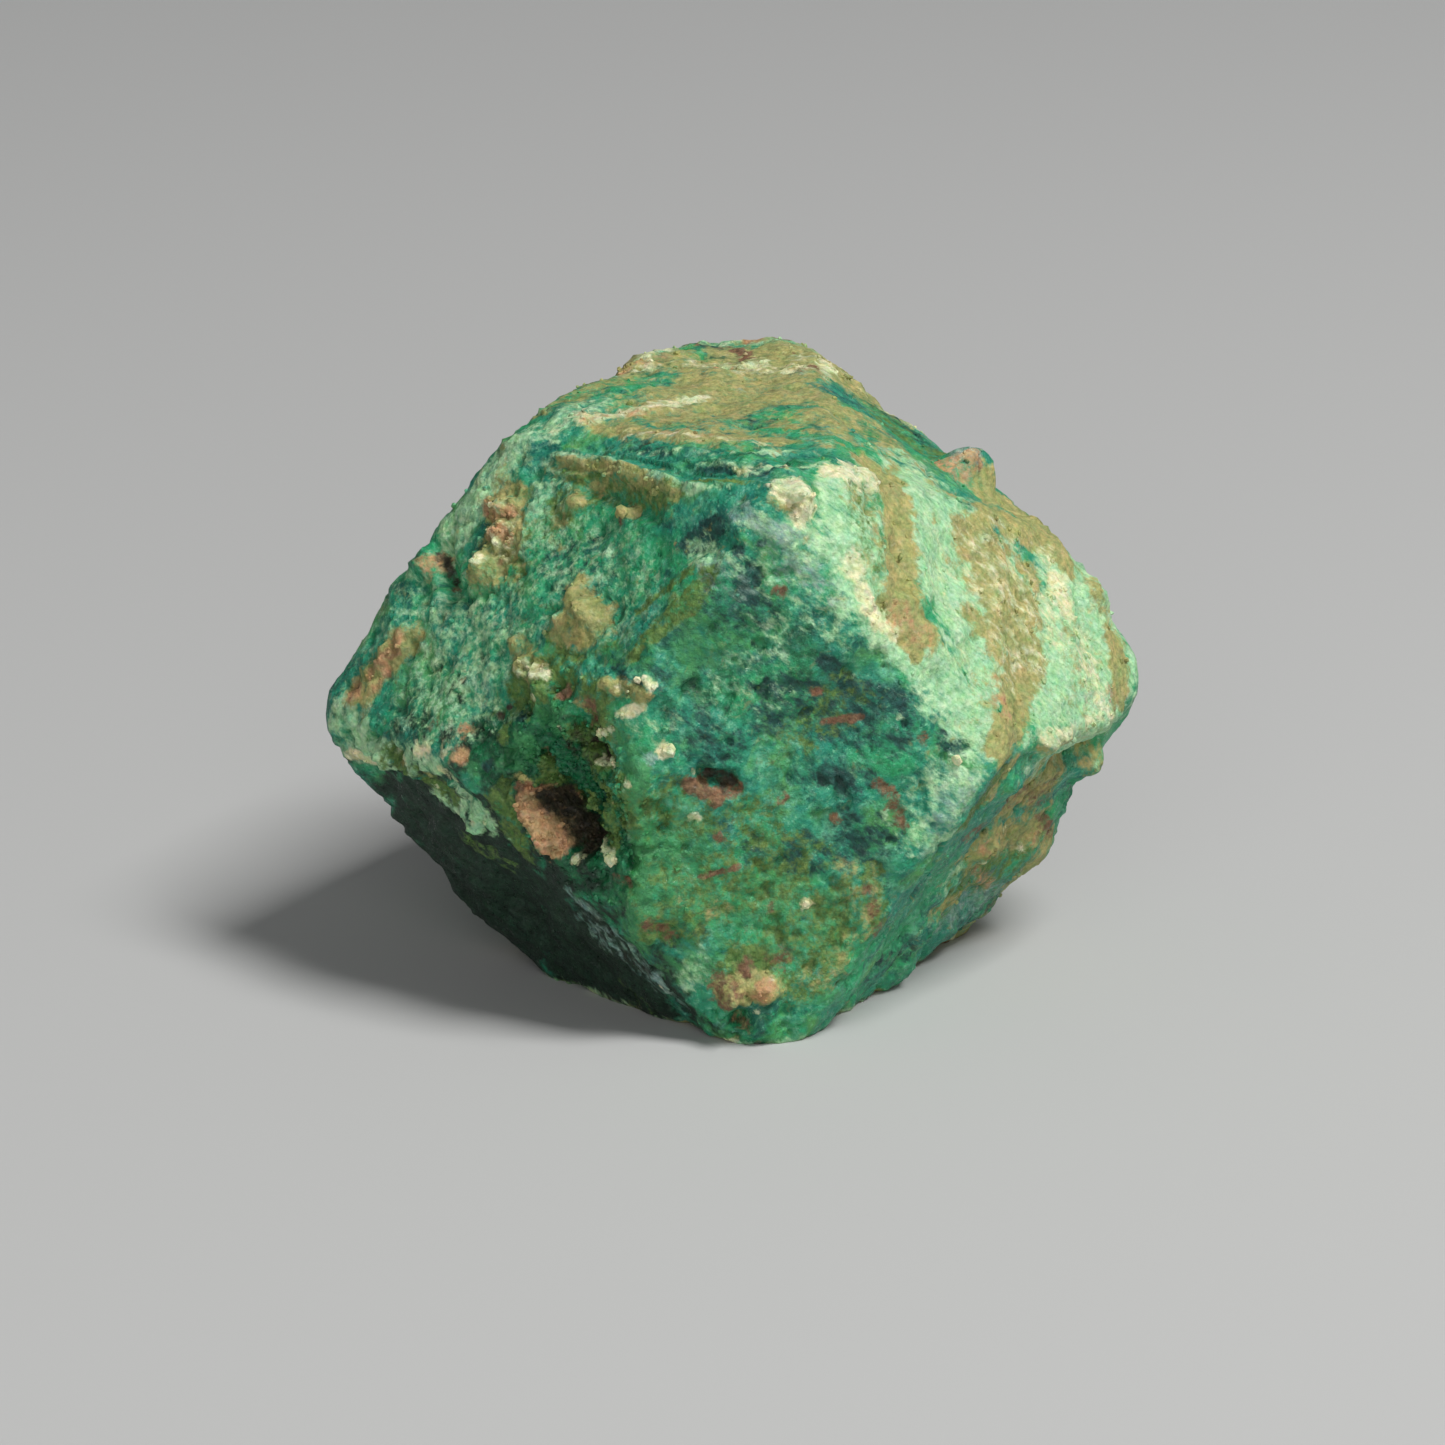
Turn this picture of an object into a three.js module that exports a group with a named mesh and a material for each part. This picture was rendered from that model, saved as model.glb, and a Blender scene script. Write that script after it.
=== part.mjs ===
// A malachite crystal that took the place of cuprite and kept its shape: a worn rhombic dodecahedron, lying on one
// of its rhombic faces, with one front corner broken into a rough hollow.
// Millimetres. +X runs from the left tip to the right tip, -Y is the front, +Z is up and the ground is z = 0.
// Faces and places are given from the crystal's middle.
import * as THREE from "three";
import { ConvexGeometry } from "three/addons/geometries/ConvexGeometry.js";
import { mergeVertices } from "three/addons/utils/BufferGeometryUtils.js";

// The crystal's middle, seen from the ground under the middle of its box.
const MIDDLE = new THREE.Vector3(0.19, 0, 6.5);

// How sharp the worn edges are: the higher, the sharper.
const SHARPNESS = 160;

// How deep the edges between the faces are worn.
const EDGE_WEAR = 0.13;

// Longest edge of a triangle: in the places with small shapes, on the rest of the front half, and on the back half.
const FINE = 0.47;
const MEDIUM = 0.78;
const COARSE = 1.6;
const GROWTH = 0.5;
const FRONT_HALF_Y = 0.4;
const FINE_PLACES = [
  // the broken corner, the pit and the lumps round them
  new THREE.Sphere(new THREE.Vector3(-3.8, -5.8, -0.3), 2.9),
  // the knob on the upper right outline
  new THREE.Sphere(new THREE.Vector3(5.3, 0.5, 4.5), 1.2),
  // the nodule at the bottom corner
  new THREE.Sphere(new THREE.Vector3(-0.4, -6.6, -5.6), 1.1),
  // the ledges and the dent at the front of the top
  new THREE.Sphere(new THREE.Vector3(-2.2, -4.6, 5.3), 1.8),
];

const COLOUR = new THREE.Color().setRGB(0.2, 0.43, 0.3, THREE.SRGBColorSpace);
const ROUGHNESS = 0.62;
const METALNESS = 0;

// A flat face: the direction it looks in, and its distance from the middle.
function face(x, y, z, distance) {
  return { normal: new THREE.Vector3(x, y, z).normalize(), distance };
}

const W = Math.SQRT2;

// The twelve rhombic faces, each grown to its own distance.
const RHOMBS = [
  face(0, 0, 1, 6.13),
  face(0, 0, -1, 6.7),
  face(0, -1, 0, 6.57),
  face(0, 1, 0, 6.57),
  face(-W, -1, 1, 6.42),
  face(-W, -1, -1, 7.16),
  face(-W, 1, 1, 6.5),
  face(-W, 1, -1, 6.88),
  face(W, -1, 1, 6.69),
  face(W, -1, -1, 6.88),
  face(1.43, 0.67, 1, 6.97),
  face(W, 1, -1, 7.16),
];

// The worn edge between two faces that meet, as a narrow face of its own.
function wornEdge(a, b) {
  const { x, y, z } = new THREE.Vector3().addVectors(a.normal, b.normal);
  return face(x, y, z, (a.distance + b.distance) / Math.hypot(x, y, z) - EDGE_WEAR);
}

// Neighbouring faces lean 60 degrees away from each other.
const WORN_EDGES = RHOMBS.flatMap((a, i) =>
  RHOMBS.slice(i + 1)
    .filter((b) => a.normal.dot(b.normal) > 0.3)
    .map((b) => wornEdge(a, b)),
);

const CUTS = [
  // the tips
  face(-1, 0, 0, 9.1),
  face(1, 0, 0, 8.8),
  // the blunted edge between the front and the upper right face
  face(W, -3, 1, 7.26),
  // the stepped edge between the top and the upper left face
  face(-W, -1, 3, 6.95),
  // the broken front corner and the broken upper right one
  face(-W, -2, 0, 7.1),
  face(1, -0.05, 1.7, 6.22),
  // the rubbed corners: low left, high left and at the back of the top
  face(-W, 0, -2, 7.85),
  face(-W, 0, 2, 7.5),
  face(0, 1, 1, 8.65),
];

const FACES = [...RHOMBS, ...WORN_EDGES, ...CUTS];

// Long gentle swells of the faces: direction and closeness of the waves, height, start.
const SWELLS = [
  [1.1, 0.4, 0.7, 0.04, 0.3],
  [-0.6, 1.2, 0.5, 0.04, 1.9],
  [0.5, -0.7, 1.3, 0.04, 4.1],
  [2.3, 0.9, -1.4, 0.03, 2.2],
  [-1.2, 1.9, 1.8, 0.03, 5.3],
  [1.5, 2.2, -1.9, 0.03, 0.8],
  [3.4, -2.1, 2.6, 0.02, 3.3],
  [-2.4, -3.1, 3.3, 0.02, 1.2],
];

// A lump (height above 0) or a hollow (below 0) at a place, or drawn out from that place to another one.
function spot(at, width, height, to = at) {
  return { from: toSurface(at), to: toSurface(to), width, height };
}

// The worn surface in the direction of a point: 1 on a face's plane, and rounded where planes meet.
function toSurface([x, y, z]) {
  const direction = new THREE.Vector3(x, y, z).normalize();
  let sum = 0;
  for (const { normal, distance } of FACES) {
    sum += (Math.max(0, normal.dot(direction)) / distance) ** SHARPNESS;
  }
  return direction.multiplyScalar(sum ** (-1 / SHARPNESS));
}

// The outward direction of the worn surface at a point of it.
function outward(point) {
  const sum = new THREE.Vector3();
  for (const { normal, distance } of FACES) {
    const reach = Math.max(0, normal.dot(point)) / distance;
    sum.addScaledVector(normal, reach ** (SHARPNESS - 1) / distance);
  }
  return sum.normalize();
}

const SPOTS = [
  // the hollow of the broken corner, deepest under its right-hand wall, and its rims
  spot([-4.3, -5.7, -0.9], 1.9, -0.5),
  spot([-4.0, -5.9, -2.0], 0.44, -0.95, [-4.8, -5.3, -1.0]),
  spot([-3.85, -6.0, -1.8], 0.35, -0.3, [-4.0, -5.9, -1.3]),
  spot([-5.2, -5.0, -1.35], 0.38, 0.38, [-4.65, -5.4, -2.1]),
  spot([-3.7, -6.1, 0.2], 0.5, -0.28, [-4.0, -5.8, 0.8]),
  spot([-2.85, -6.6, -0.3], 0.6, 0.14, [-2.85, -6.6, -3.4]),
  spot([-5.2, -5.1, -1.8], 0.6, 0.12, [-4.5, -5.5, -2.4]),
  spot([-3.7, -6.0, -2.5], 0.45, 0.25),
  // the pit in the front face and the slit below it
  spot([-1.35, -6.6, -0.35], 0.34, -0.5, [-0.95, -6.6, -0.4]),
  spot([-0.75, -6.6, -0.6], 0.28, -0.15),
  spot([-1.1, -6.6, -0.95], 0.5, 0.1),
  spot([-2.5, -6.6, -3.8], 0.3, -0.18, [-2.1, -6.6, -3.9]),
  // the nodule at the bottom corner, two lobes with a hollow between them
  spot([-0.05, -6.6, -5.3], 0.5, 0.38),
  spot([-0.75, -6.6, -5.4], 0.5, 0.3),
  spot([-0.2, -6.5, -6.0], 0.45, 0.25),
  spot([-0.6, -6.5, -5.85], 0.35, -0.45),
  // the dented, shaded top of the front face
  spot([-1.6, -6.1, 4.7], 0.5, -0.25, [-1.1, -6.4, 4.9]),
  spot([-0.3, -6.6, 4.5], 0.8, -0.12),
  spot([0.7, -6.2, 5.7], 0.5, 0.25),
  spot([1.7, -5.1, 5.9], 0.5, 0.15, [2.4, -4.4, 5.6]),
  // the ledges of the top edge, each with the recess under it
  spot([-4.1, -1.5, 5.5], 0.26, 0.13, [-3.1, -2.6, 5.65]),
  spot([-2.9, -3.0, 5.6], 0.26, 0.16, [-1.9, -4.5, 5.6]),
  spot([-3.6, -2.7, 5.2], 0.4, -0.2, [-2.3, -4.6, 5.0]),
  spot([-1.9, -3.4, 6.0], 0.3, 0.1, [0.6, -5.2, 6.1]),
  spot([-1.7, -4.3, 5.8], 0.3, -0.14, [0.3, -5.8, 6.0]),
  spot([-1.55, -4.95, 5.6], 0.25, 0.12, [0.4, -6.3, 5.75]),
  // lumps on the upper left face, the largest first
  spot([-3.9, -4.3, 3.0], 0.5, 0.36, [-3.75, -4.7, 2.8]),
  spot([-4.15, -4.4, 2.5], 0.5, 0.2),
  spot([-2.9, -3.9, 4.9], 0.28, 0.3),
  spot([-3.9, -2.6, 4.7], 0.35, 0.2),
  spot([-5.2, -3.7, 1.8], 0.35, 0.22),
  spot([-5.1, -4.2, 1.4], 0.5, 0.28, [-4.8, -4.8, 1.2]),
  spot([-5.2, -1.2, 4.1], 0.5, 0.3),
  spot([-5.4, -1.5, 3.6], 0.5, 0.32, [-5.9, -1.7, 2.9]),
  spot([-3.4, -6.3, 1.6], 0.4, 0.22, [-2.7, -6.6, 1.7]),
  // the crack and the lumps of the left edge
  spot([-6.6, -0.5, 3.0], 0.4, -0.4, [-6.4, -1.2, 2.4]),
  spot([-7.0, -0.2, 2.7], 0.5, 0.3),
  spot([-7.7, -0.8, 1.2], 0.6, 0.2, [-8.3, -0.7, 0.5]),
  spot([-7.5, 0.4, 1.9], 1.2, 0.2),
  spot([-8.1, -0.2, -1.9], 1.3, 0.28),
  spot([-8.1, -1.8, -1.2], 0.5, 0.18, [-7.2, -2.9, -1.0]),
  spot([-6.6, -3.9, -0.6], 0.4, 0.22),
  spot([-6.2, -3.7, -2.1], 0.5, 0.2),
  // the waves of the dark lower left face
  spot([-5.9, -0.4, -5.5], 1.1, -0.15),
  spot([-6.6, -1.8, -3.8], 1.6, 0.15),
  spot([-5.2, -2.6, -4.7], 1.2, -0.2),
  // the knob on the upper right outline and the notch beside it
  spot([4.85, 0.1, 4.4], 0.75, 0.46, [5.2, 0.4, 4.2]),
  spot([5.2, 0.4, 4.25], 1.2, 0.15),
  spot([5.8, -0.2, 3.7], 0.5, -0.15),
  // the lip of the right-hand edge, the recess under it and the lump below that
  spot([6.3, -4.2, -0.5], 0.45, 0.22, [8.3, -1.6, -0.7]),
  spot([6.9, -2.9, -1.6], 0.5, -0.35, [7.9, -1.2, -1.7]),
  spot([7.6, -0.9, -2.0], 0.6, 0.4),
  spot([5.6, -4.8, -1.3], 0.5, 0.2),
  spot([6.2, -2.9, -2.4], 0.5, -0.3),
  // lumps of the lower right face
  spot([6.5, -0.4, -4.0], 1.4, 0.36),
  spot([8.3, 0.1, -2.0], 0.7, -0.12),
  spot([5.1, -3.2, -3.3], 0.6, 0.25),
  spot([4.9, -1.8, -4.9], 0.9, -0.25),
  spot([3.2, -3.1, -5.8], 1.0, 0.35),
  spot([4.8, -0.5, -6.5], 1.0, -0.28),
  spot([3.7, -3.4, -4.9], 0.7, 0.2),
  // worn waves of the upper right face
  spot([4.1, -4.1, 3.8], 0.9, -0.12, [3.9, -5.2, 2.7]),
  spot([5.6, -2.8, 2.7], 1.3, 0.16),
  spot([7.2, -2.6, 0.6], 1.0, 0.12),
  spot([7.6, -0.8, 2.2], 1.8, 0.22),
  spot([7.9, -0.6, 1.7], 0.8, 0.22),
  spot([8.8, 0, 0.5], 0.7, -0.13),
  spot([3.1, -5.7, 3.2], 0.5, 0.14),
  // the back and underside, weathered in the same way
  spot([-2.4, 6.5, 1.6], 1.3, -0.35, [-1.2, 6.5, 0.6]),
  spot([1.8, 6.5, -2.2], 0.9, 0.3),
  spot([0.9, 6.5, 3.4], 0.8, 0.3),
  spot([-5.4, 3.1, 2.8], 0.9, 0.3),
  spot([-6.2, 2.4, -2.4], 1.2, -0.3),
  spot([5.2, 3.6, 1.6], 1.1, -0.3),
  spot([5.6, 3.8, -2.6], 0.9, 0.3),
  spot([-3.4, 4.6, -3.9], 1.0, 0.25),
  spot([2.6, 4.9, -4.4], 1.2, -0.25),
  spot([0.6, 2.2, 6.1], 1.2, -0.16),
  spot([0.4, 6.0, 6.2], 1.3, -0.22),
  spot([-1.8, 4.7, 5.9], 1.1, 0.26),
  spot([3.6, 3.9, 5.2], 1.2, -0.26),
  spot([2.0, 6.3, 5.9], 0.8, -0.1),
  spot([-4.7, 0.2, 5.9], 0.9, -0.17),
];

// How far a point of the worn surface is raised by the swells and the spots.
function relief(point) {
  let height = 0;
  for (const [x, y, z, rise, start] of SWELLS) {
    height += rise * Math.sin(x * point.x + y * point.y + z * point.z + start);
  }
  const nearest = new THREE.Vector3();
  for (const { from, to, width, height: rise } of SPOTS) {
    new THREE.Line3(from, to).closestPointToPoint(point, true, nearest);
    const share = nearest.distanceTo(point) / width;
    if (share < 1) {
      height += rise * (1 - share * share) ** 2;
    }
  }
  return height;
}

// Corners nearer to each other than this are one.
const SAME = 0.01;

// The sharp corners of the crystal: where three faces meet and no other face cuts them off.
function corners() {
  const found = [];
  const lines = new THREE.Matrix3();
  for (let i = 0; i < FACES.length; i++) {
    for (let j = i + 1; j < FACES.length; j++) {
      for (let k = j + 1; k < FACES.length; k++) {
        const [a, b, c] = [FACES[i], FACES[j], FACES[k]];
        lines.set(...a.normal, ...b.normal, ...c.normal);
        if (Math.abs(lines.determinant()) < 1e-6) {
          continue;
        }
        const corner = new THREE.Vector3(a.distance, b.distance, c.distance).applyMatrix3(lines.invert());
        const inside = FACES.every(({ normal, distance }) => normal.dot(corner) < distance + 1e-6);
        if (inside && found.every((other) => other.distanceTo(corner) > SAME)) {
          found.push(corner);
        }
      }
    }
  }
  return found;
}

// The longest edge allowed round a place. It grows slowly from place to place.
function longestEdgeAt(place) {
  const base = MEDIUM + GROWTH * Math.max(0, place.y - FRONT_HALF_Y);
  const fine = FINE_PLACES.map((sphere) => FINE + GROWTH * Math.max(0, sphere.distanceToPoint(place)));
  return Math.min(COARSE, base, ...fine);
}

// Halves triangles until no edge is longer than its place allows. Neighbours agree, because only the edge's own
// length and middle count.
function subdivide(triangles) {
  const done = [];
  const open = [...triangles];
  while (open.length) {
    const triangle = open.pop();
    let longest = 0;
    let split = null;
    for (let i = 0; i < 3; i++) {
      const a = triangle[i];
      const b = triangle[(i + 1) % 3];
      const middle = new THREE.Vector3().addVectors(a, b).multiplyScalar(0.5);
      const length = a.distanceTo(b);
      if (length > longestEdgeAt(middle) && length > longest) {
        longest = length;
        split = { a, b, middle, opposite: triangle[(i + 2) % 3] };
      }
    }
    if (split) {
      open.push([split.a, split.middle, split.opposite], [split.middle, split.b, split.opposite]);
    } else {
      done.push(triangle);
    }
  }
  return done;
}

function crystalGeometry() {
  const sharp = new ConvexGeometry(corners()).getAttribute("position");
  const triangles = [];
  for (let i = 0; i < sharp.count; i += 3) {
    triangles.push([0, 1, 2].map((k) => new THREE.Vector3().fromBufferAttribute(sharp, i + k)));
  }
  const points = subdivide(triangles).flat();
  const geometry = mergeVertices(new THREE.BufferGeometry().setFromPoints(points), 1e-3);
  const position = geometry.getAttribute("position");
  for (let i = 0; i < position.count; i++) {
    const worn = toSurface(new THREE.Vector3().fromBufferAttribute(position, i).toArray());
    worn.addScaledVector(outward(worn), relief(worn)).add(MIDDLE);
    // the foot is worn flat, so that the crystal stands
    position.setXYZ(i, worn.x, worn.y, Math.max(0, worn.z));
  }
  geometry.computeVertexNormals();
  return geometry;
}

const crystal = new THREE.Mesh(
  crystalGeometry(),
  new THREE.MeshStandardMaterial({ color: COLOUR, roughness: ROUGHNESS, metalness: METALNESS }),
);
crystal.name = "malachite_crystal";

const specimen = new THREE.Group();
specimen.name = "malachite_specimen";
specimen.add(crystal);

export default specimen;
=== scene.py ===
"""A worn malachite crystal that took the place of cuprite and kept its shape. It lies on a rhombic face."""

import math
import random

import bpy
import numpy as np
from mathutils import Matrix, Vector, noise


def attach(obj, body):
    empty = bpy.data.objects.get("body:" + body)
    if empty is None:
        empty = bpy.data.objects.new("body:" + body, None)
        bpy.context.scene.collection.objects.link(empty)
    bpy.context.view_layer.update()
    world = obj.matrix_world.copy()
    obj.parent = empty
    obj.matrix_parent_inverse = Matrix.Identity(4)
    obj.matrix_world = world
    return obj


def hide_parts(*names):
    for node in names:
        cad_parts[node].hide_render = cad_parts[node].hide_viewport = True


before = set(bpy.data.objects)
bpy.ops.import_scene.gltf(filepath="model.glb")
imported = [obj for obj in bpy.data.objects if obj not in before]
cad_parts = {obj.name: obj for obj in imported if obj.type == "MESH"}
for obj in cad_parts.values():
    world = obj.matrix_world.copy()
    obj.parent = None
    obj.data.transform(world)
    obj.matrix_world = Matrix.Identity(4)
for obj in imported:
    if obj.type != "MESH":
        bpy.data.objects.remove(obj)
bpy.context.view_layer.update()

# The crystal is shaped in millimetres round its middle. This is the middle, in the part.
MM = 0.001
MIDDLE = np.array((0.19, 0.0, 6.5))

# How sharp the edges between the faces are, and how deep they are worn.
SHARPNESS = 160
EDGE_WEAR = 0.13

# Rhombs whose directions agree by more than this share an edge.
NEIGHBOURS = 0.3

# How far a rhombic face leans out for each step up or forward.
W = math.sqrt(2)

# The twelve rhombic faces: the direction each looks in, and its distance from the middle.
RHOMBS = [
    ((0, 0, 1), 6.13),
    ((0, 0, -1), 6.7),
    ((0, -1, 0), 6.57),
    ((0, 1, 0), 6.57),
    ((-W, -1, 1), 6.42),
    ((-W, -1, -1), 7.16),
    ((-W, 1, 1), 6.5),
    ((-W, 1, -1), 6.88),
    ((W, -1, 1), 6.69),
    ((W, -1, -1), 6.88),
    ((1.43, 0.67, 1), 6.97),
    ((W, 1, -1), 7.16),
]

# Tips, blunted edges and broken or rubbed corners.
CUTS = [
    ((-1, 0, 0), 9.1),
    ((1, 0, 0), 8.8),
    ((W, -3, 1), 7.26),
    ((-W, -1, 3), 6.95),
    ((-W, -2, 0), 7.1),
    ((1, -0.05, 1.7), 6.22),
    ((-W, 0, -2), 7.85),
    ((-W, 0, 2), 7.5),
    ((0, 1, 1), 8.65),
]

# Long gentle swells of the faces: direction and closeness of the waves, height, start.
SWELLS = [
    ((1.1, 0.4, 0.7), 0.04, 0.3),
    ((-0.6, 1.2, 0.5), 0.04, 1.9),
    ((0.5, -0.7, 1.3), 0.04, 4.1),
    ((2.3, 0.9, -1.4), 0.03, 2.2),
    ((-1.2, 1.9, 1.8), 0.03, 5.3),
    ((1.5, 2.2, -1.9), 0.03, 0.8),
    ((3.4, -2.1, 2.6), 0.02, 3.3),
    ((-2.4, -3.1, 3.3), 0.02, 1.2),
]

# Lumps (height above 0) and hollows (below 0): width, height, and the places they run through.
SPOTS = [
    # the hollow of the broken corner, deepest under its right-hand wall, and its rims
    (1.9, -0.5, [(-4.3, -5.7, -0.9)]),
    (0.44, -0.95, [(-4, -5.9, -2), (-4.8, -5.3, -1)]),
    (0.35, -0.3, [(-3.85, -6, -1.8), (-4, -5.9, -1.3)]),
    (0.38, 0.38, [(-5.2, -5, -1.35), (-4.65, -5.4, -2.1)]),
    (0.5, -0.28, [(-3.7, -6.1, 0.2), (-4, -5.8, 0.8)]),
    (0.6, 0.14, [(-2.85, -6.6, -0.3), (-2.85, -6.6, -3.4)]),
    (0.6, 0.12, [(-5.2, -5.1, -1.8), (-4.5, -5.5, -2.4)]),
    (0.45, 0.25, [(-3.7, -6, -2.5)]),
    # the pit in the front face and the slit below it
    (0.34, -0.5, [(-1.35, -6.6, -0.35), (-0.95, -6.6, -0.4)]),
    (0.28, -0.15, [(-0.75, -6.6, -0.6)]),
    (0.5, 0.1, [(-1.1, -6.6, -0.95)]),
    (0.3, -0.18, [(-2.5, -6.6, -3.8), (-2.1, -6.6, -3.9)]),
    # the nodule at the bottom corner, two lobes with a hollow between them
    (0.5, 0.38, [(-0.05, -6.6, -5.3)]),
    (0.5, 0.3, [(-0.75, -6.6, -5.4)]),
    (0.45, 0.25, [(-0.2, -6.5, -6)]),
    (0.35, -0.45, [(-0.6, -6.5, -5.85)]),
    # the dented, shaded top of the front face
    (0.5, -0.25, [(-1.6, -6.1, 4.7), (-1.1, -6.4, 4.9)]),
    (0.8, -0.12, [(-0.3, -6.6, 4.5)]),
    (0.5, 0.25, [(0.7, -6.2, 5.7)]),
    (0.5, 0.15, [(1.7, -5.1, 5.9), (2.4, -4.4, 5.6)]),
    # the ledges of the top edge, each with the recess under it
    (0.26, 0.13, [(-4.1, -1.5, 5.5), (-3.1, -2.6, 5.65)]),
    (0.26, 0.16, [(-2.9, -3, 5.6), (-1.9, -4.5, 5.6)]),
    (0.4, -0.2, [(-3.6, -2.7, 5.2), (-2.3, -4.6, 5)]),
    (0.3, 0.1, [(-1.9, -3.4, 6), (0.6, -5.2, 6.1)]),
    (0.3, -0.14, [(-1.7, -4.3, 5.8), (0.3, -5.8, 6)]),
    (0.25, 0.12, [(-1.55, -4.95, 5.6), (0.4, -6.3, 5.75)]),
    # lumps on the upper left face, the largest first
    (0.5, 0.36, [(-3.9, -4.3, 3), (-3.75, -4.7, 2.8)]),
    (0.5, 0.2, [(-4.15, -4.4, 2.5)]),
    (0.28, 0.3, [(-2.9, -3.9, 4.9)]),
    (0.35, 0.2, [(-3.9, -2.6, 4.7)]),
    (0.35, 0.22, [(-5.2, -3.7, 1.8)]),
    (0.5, 0.28, [(-5.1, -4.2, 1.4), (-4.8, -4.8, 1.2)]),
    (0.5, 0.3, [(-5.2, -1.2, 4.1)]),
    (0.5, 0.32, [(-5.4, -1.5, 3.6), (-5.9, -1.7, 2.9)]),
    (0.4, 0.22, [(-3.4, -6.3, 1.6), (-2.7, -6.6, 1.7)]),
    # the crack and the lumps of the left edge
    (0.4, -0.4, [(-6.6, -0.5, 3), (-6.4, -1.2, 2.4)]),
    (0.5, 0.3, [(-7, -0.2, 2.7)]),
    (0.6, 0.2, [(-7.7, -0.8, 1.2), (-8.3, -0.7, 0.5)]),
    (1.2, 0.2, [(-7.5, 0.4, 1.9)]),
    (1.3, 0.28, [(-8.1, -0.2, -1.9)]),
    (0.5, 0.18, [(-8.1, -1.8, -1.2), (-7.2, -2.9, -1)]),
    (0.4, 0.22, [(-6.6, -3.9, -0.6)]),
    (0.5, 0.2, [(-6.2, -3.7, -2.1)]),
    # the waves of the dark lower left face
    (1.1, -0.15, [(-5.9, -0.4, -5.5)]),
    (1.6, 0.15, [(-6.6, -1.8, -3.8)]),
    (1.2, -0.2, [(-5.2, -2.6, -4.7)]),
    # the knob on the upper right outline and the notch beside it
    (0.75, 0.46, [(4.85, 0.1, 4.4), (5.2, 0.4, 4.2)]),
    (1.2, 0.15, [(5.2, 0.4, 4.25)]),
    (0.5, -0.15, [(5.8, -0.2, 3.7)]),
    # the lip of the right-hand edge, the recess under it and the lump below that
    (0.45, 0.22, [(6.3, -4.2, -0.5), (8.3, -1.6, -0.7)]),
    (0.5, -0.35, [(6.9, -2.9, -1.6), (7.9, -1.2, -1.7)]),
    (0.6, 0.4, [(7.6, -0.9, -2)]),
    (0.5, 0.2, [(5.6, -4.8, -1.3)]),
    (0.5, -0.3, [(6.2, -2.9, -2.4)]),
    # lumps of the lower right face
    (1.4, 0.36, [(6.5, -0.4, -4)]),
    (0.7, -0.12, [(8.3, 0.1, -2)]),
    (0.6, 0.25, [(5.1, -3.2, -3.3)]),
    (0.9, -0.25, [(4.9, -1.8, -4.9)]),
    (1.0, 0.35, [(3.2, -3.1, -5.8)]),
    (1.0, -0.28, [(4.8, -0.5, -6.5)]),
    (0.7, 0.2, [(3.7, -3.4, -4.9)]),
    # worn waves of the upper right face
    (0.9, -0.12, [(4.1, -4.1, 3.8), (3.9, -5.2, 2.7)]),
    (1.3, 0.16, [(5.6, -2.8, 2.7)]),
    (1.0, 0.12, [(7.2, -2.6, 0.6)]),
    (1.8, 0.22, [(7.6, -0.8, 2.2)]),
    (0.8, 0.22, [(7.9, -0.6, 1.7)]),
    (0.7, -0.13, [(8.8, 0, 0.5)]),
    (0.5, 0.14, [(3.1, -5.7, 3.2)]),
    # the back and underside, weathered in the same way
    (1.3, -0.35, [(-2.4, 6.5, 1.6), (-1.2, 6.5, 0.6)]),
    (0.9, 0.3, [(1.8, 6.5, -2.2)]),
    (0.8, 0.3, [(0.9, 6.5, 3.4)]),
    (0.9, 0.3, [(-5.4, 3.1, 2.8)]),
    (1.2, -0.3, [(-6.2, 2.4, -2.4)]),
    (1.1, -0.3, [(5.2, 3.6, 1.6)]),
    (0.9, 0.3, [(5.6, 3.8, -2.6)]),
    (1.0, 0.25, [(-3.4, 4.6, -3.9)]),
    (1.2, -0.25, [(2.6, 4.9, -4.4)]),
    (1.2, -0.16, [(0.6, 2.2, 6.1)]),
    (1.3, -0.22, [(0.4, 6, 6.2)]),
    (1.1, 0.26, [(-1.8, 4.7, 5.9)]),
    (1.2, -0.26, [(3.6, 3.9, 5.2)]),
    (0.8, -0.1, [(2, 6.3, 5.9)]),
    (0.9, -0.17, [(-4.7, 0.2, 5.9)]),
]

# Finer lumps, pits and cracks, written in the same way.
DETAILS = [
    # the two small cavities of the broken corner
    (0.24, -0.4, [(-3.75, -6.05, 0.08)]),
    (0.2, -0.25, [(-5.3, -4.8, -0.2)]),
]

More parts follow.
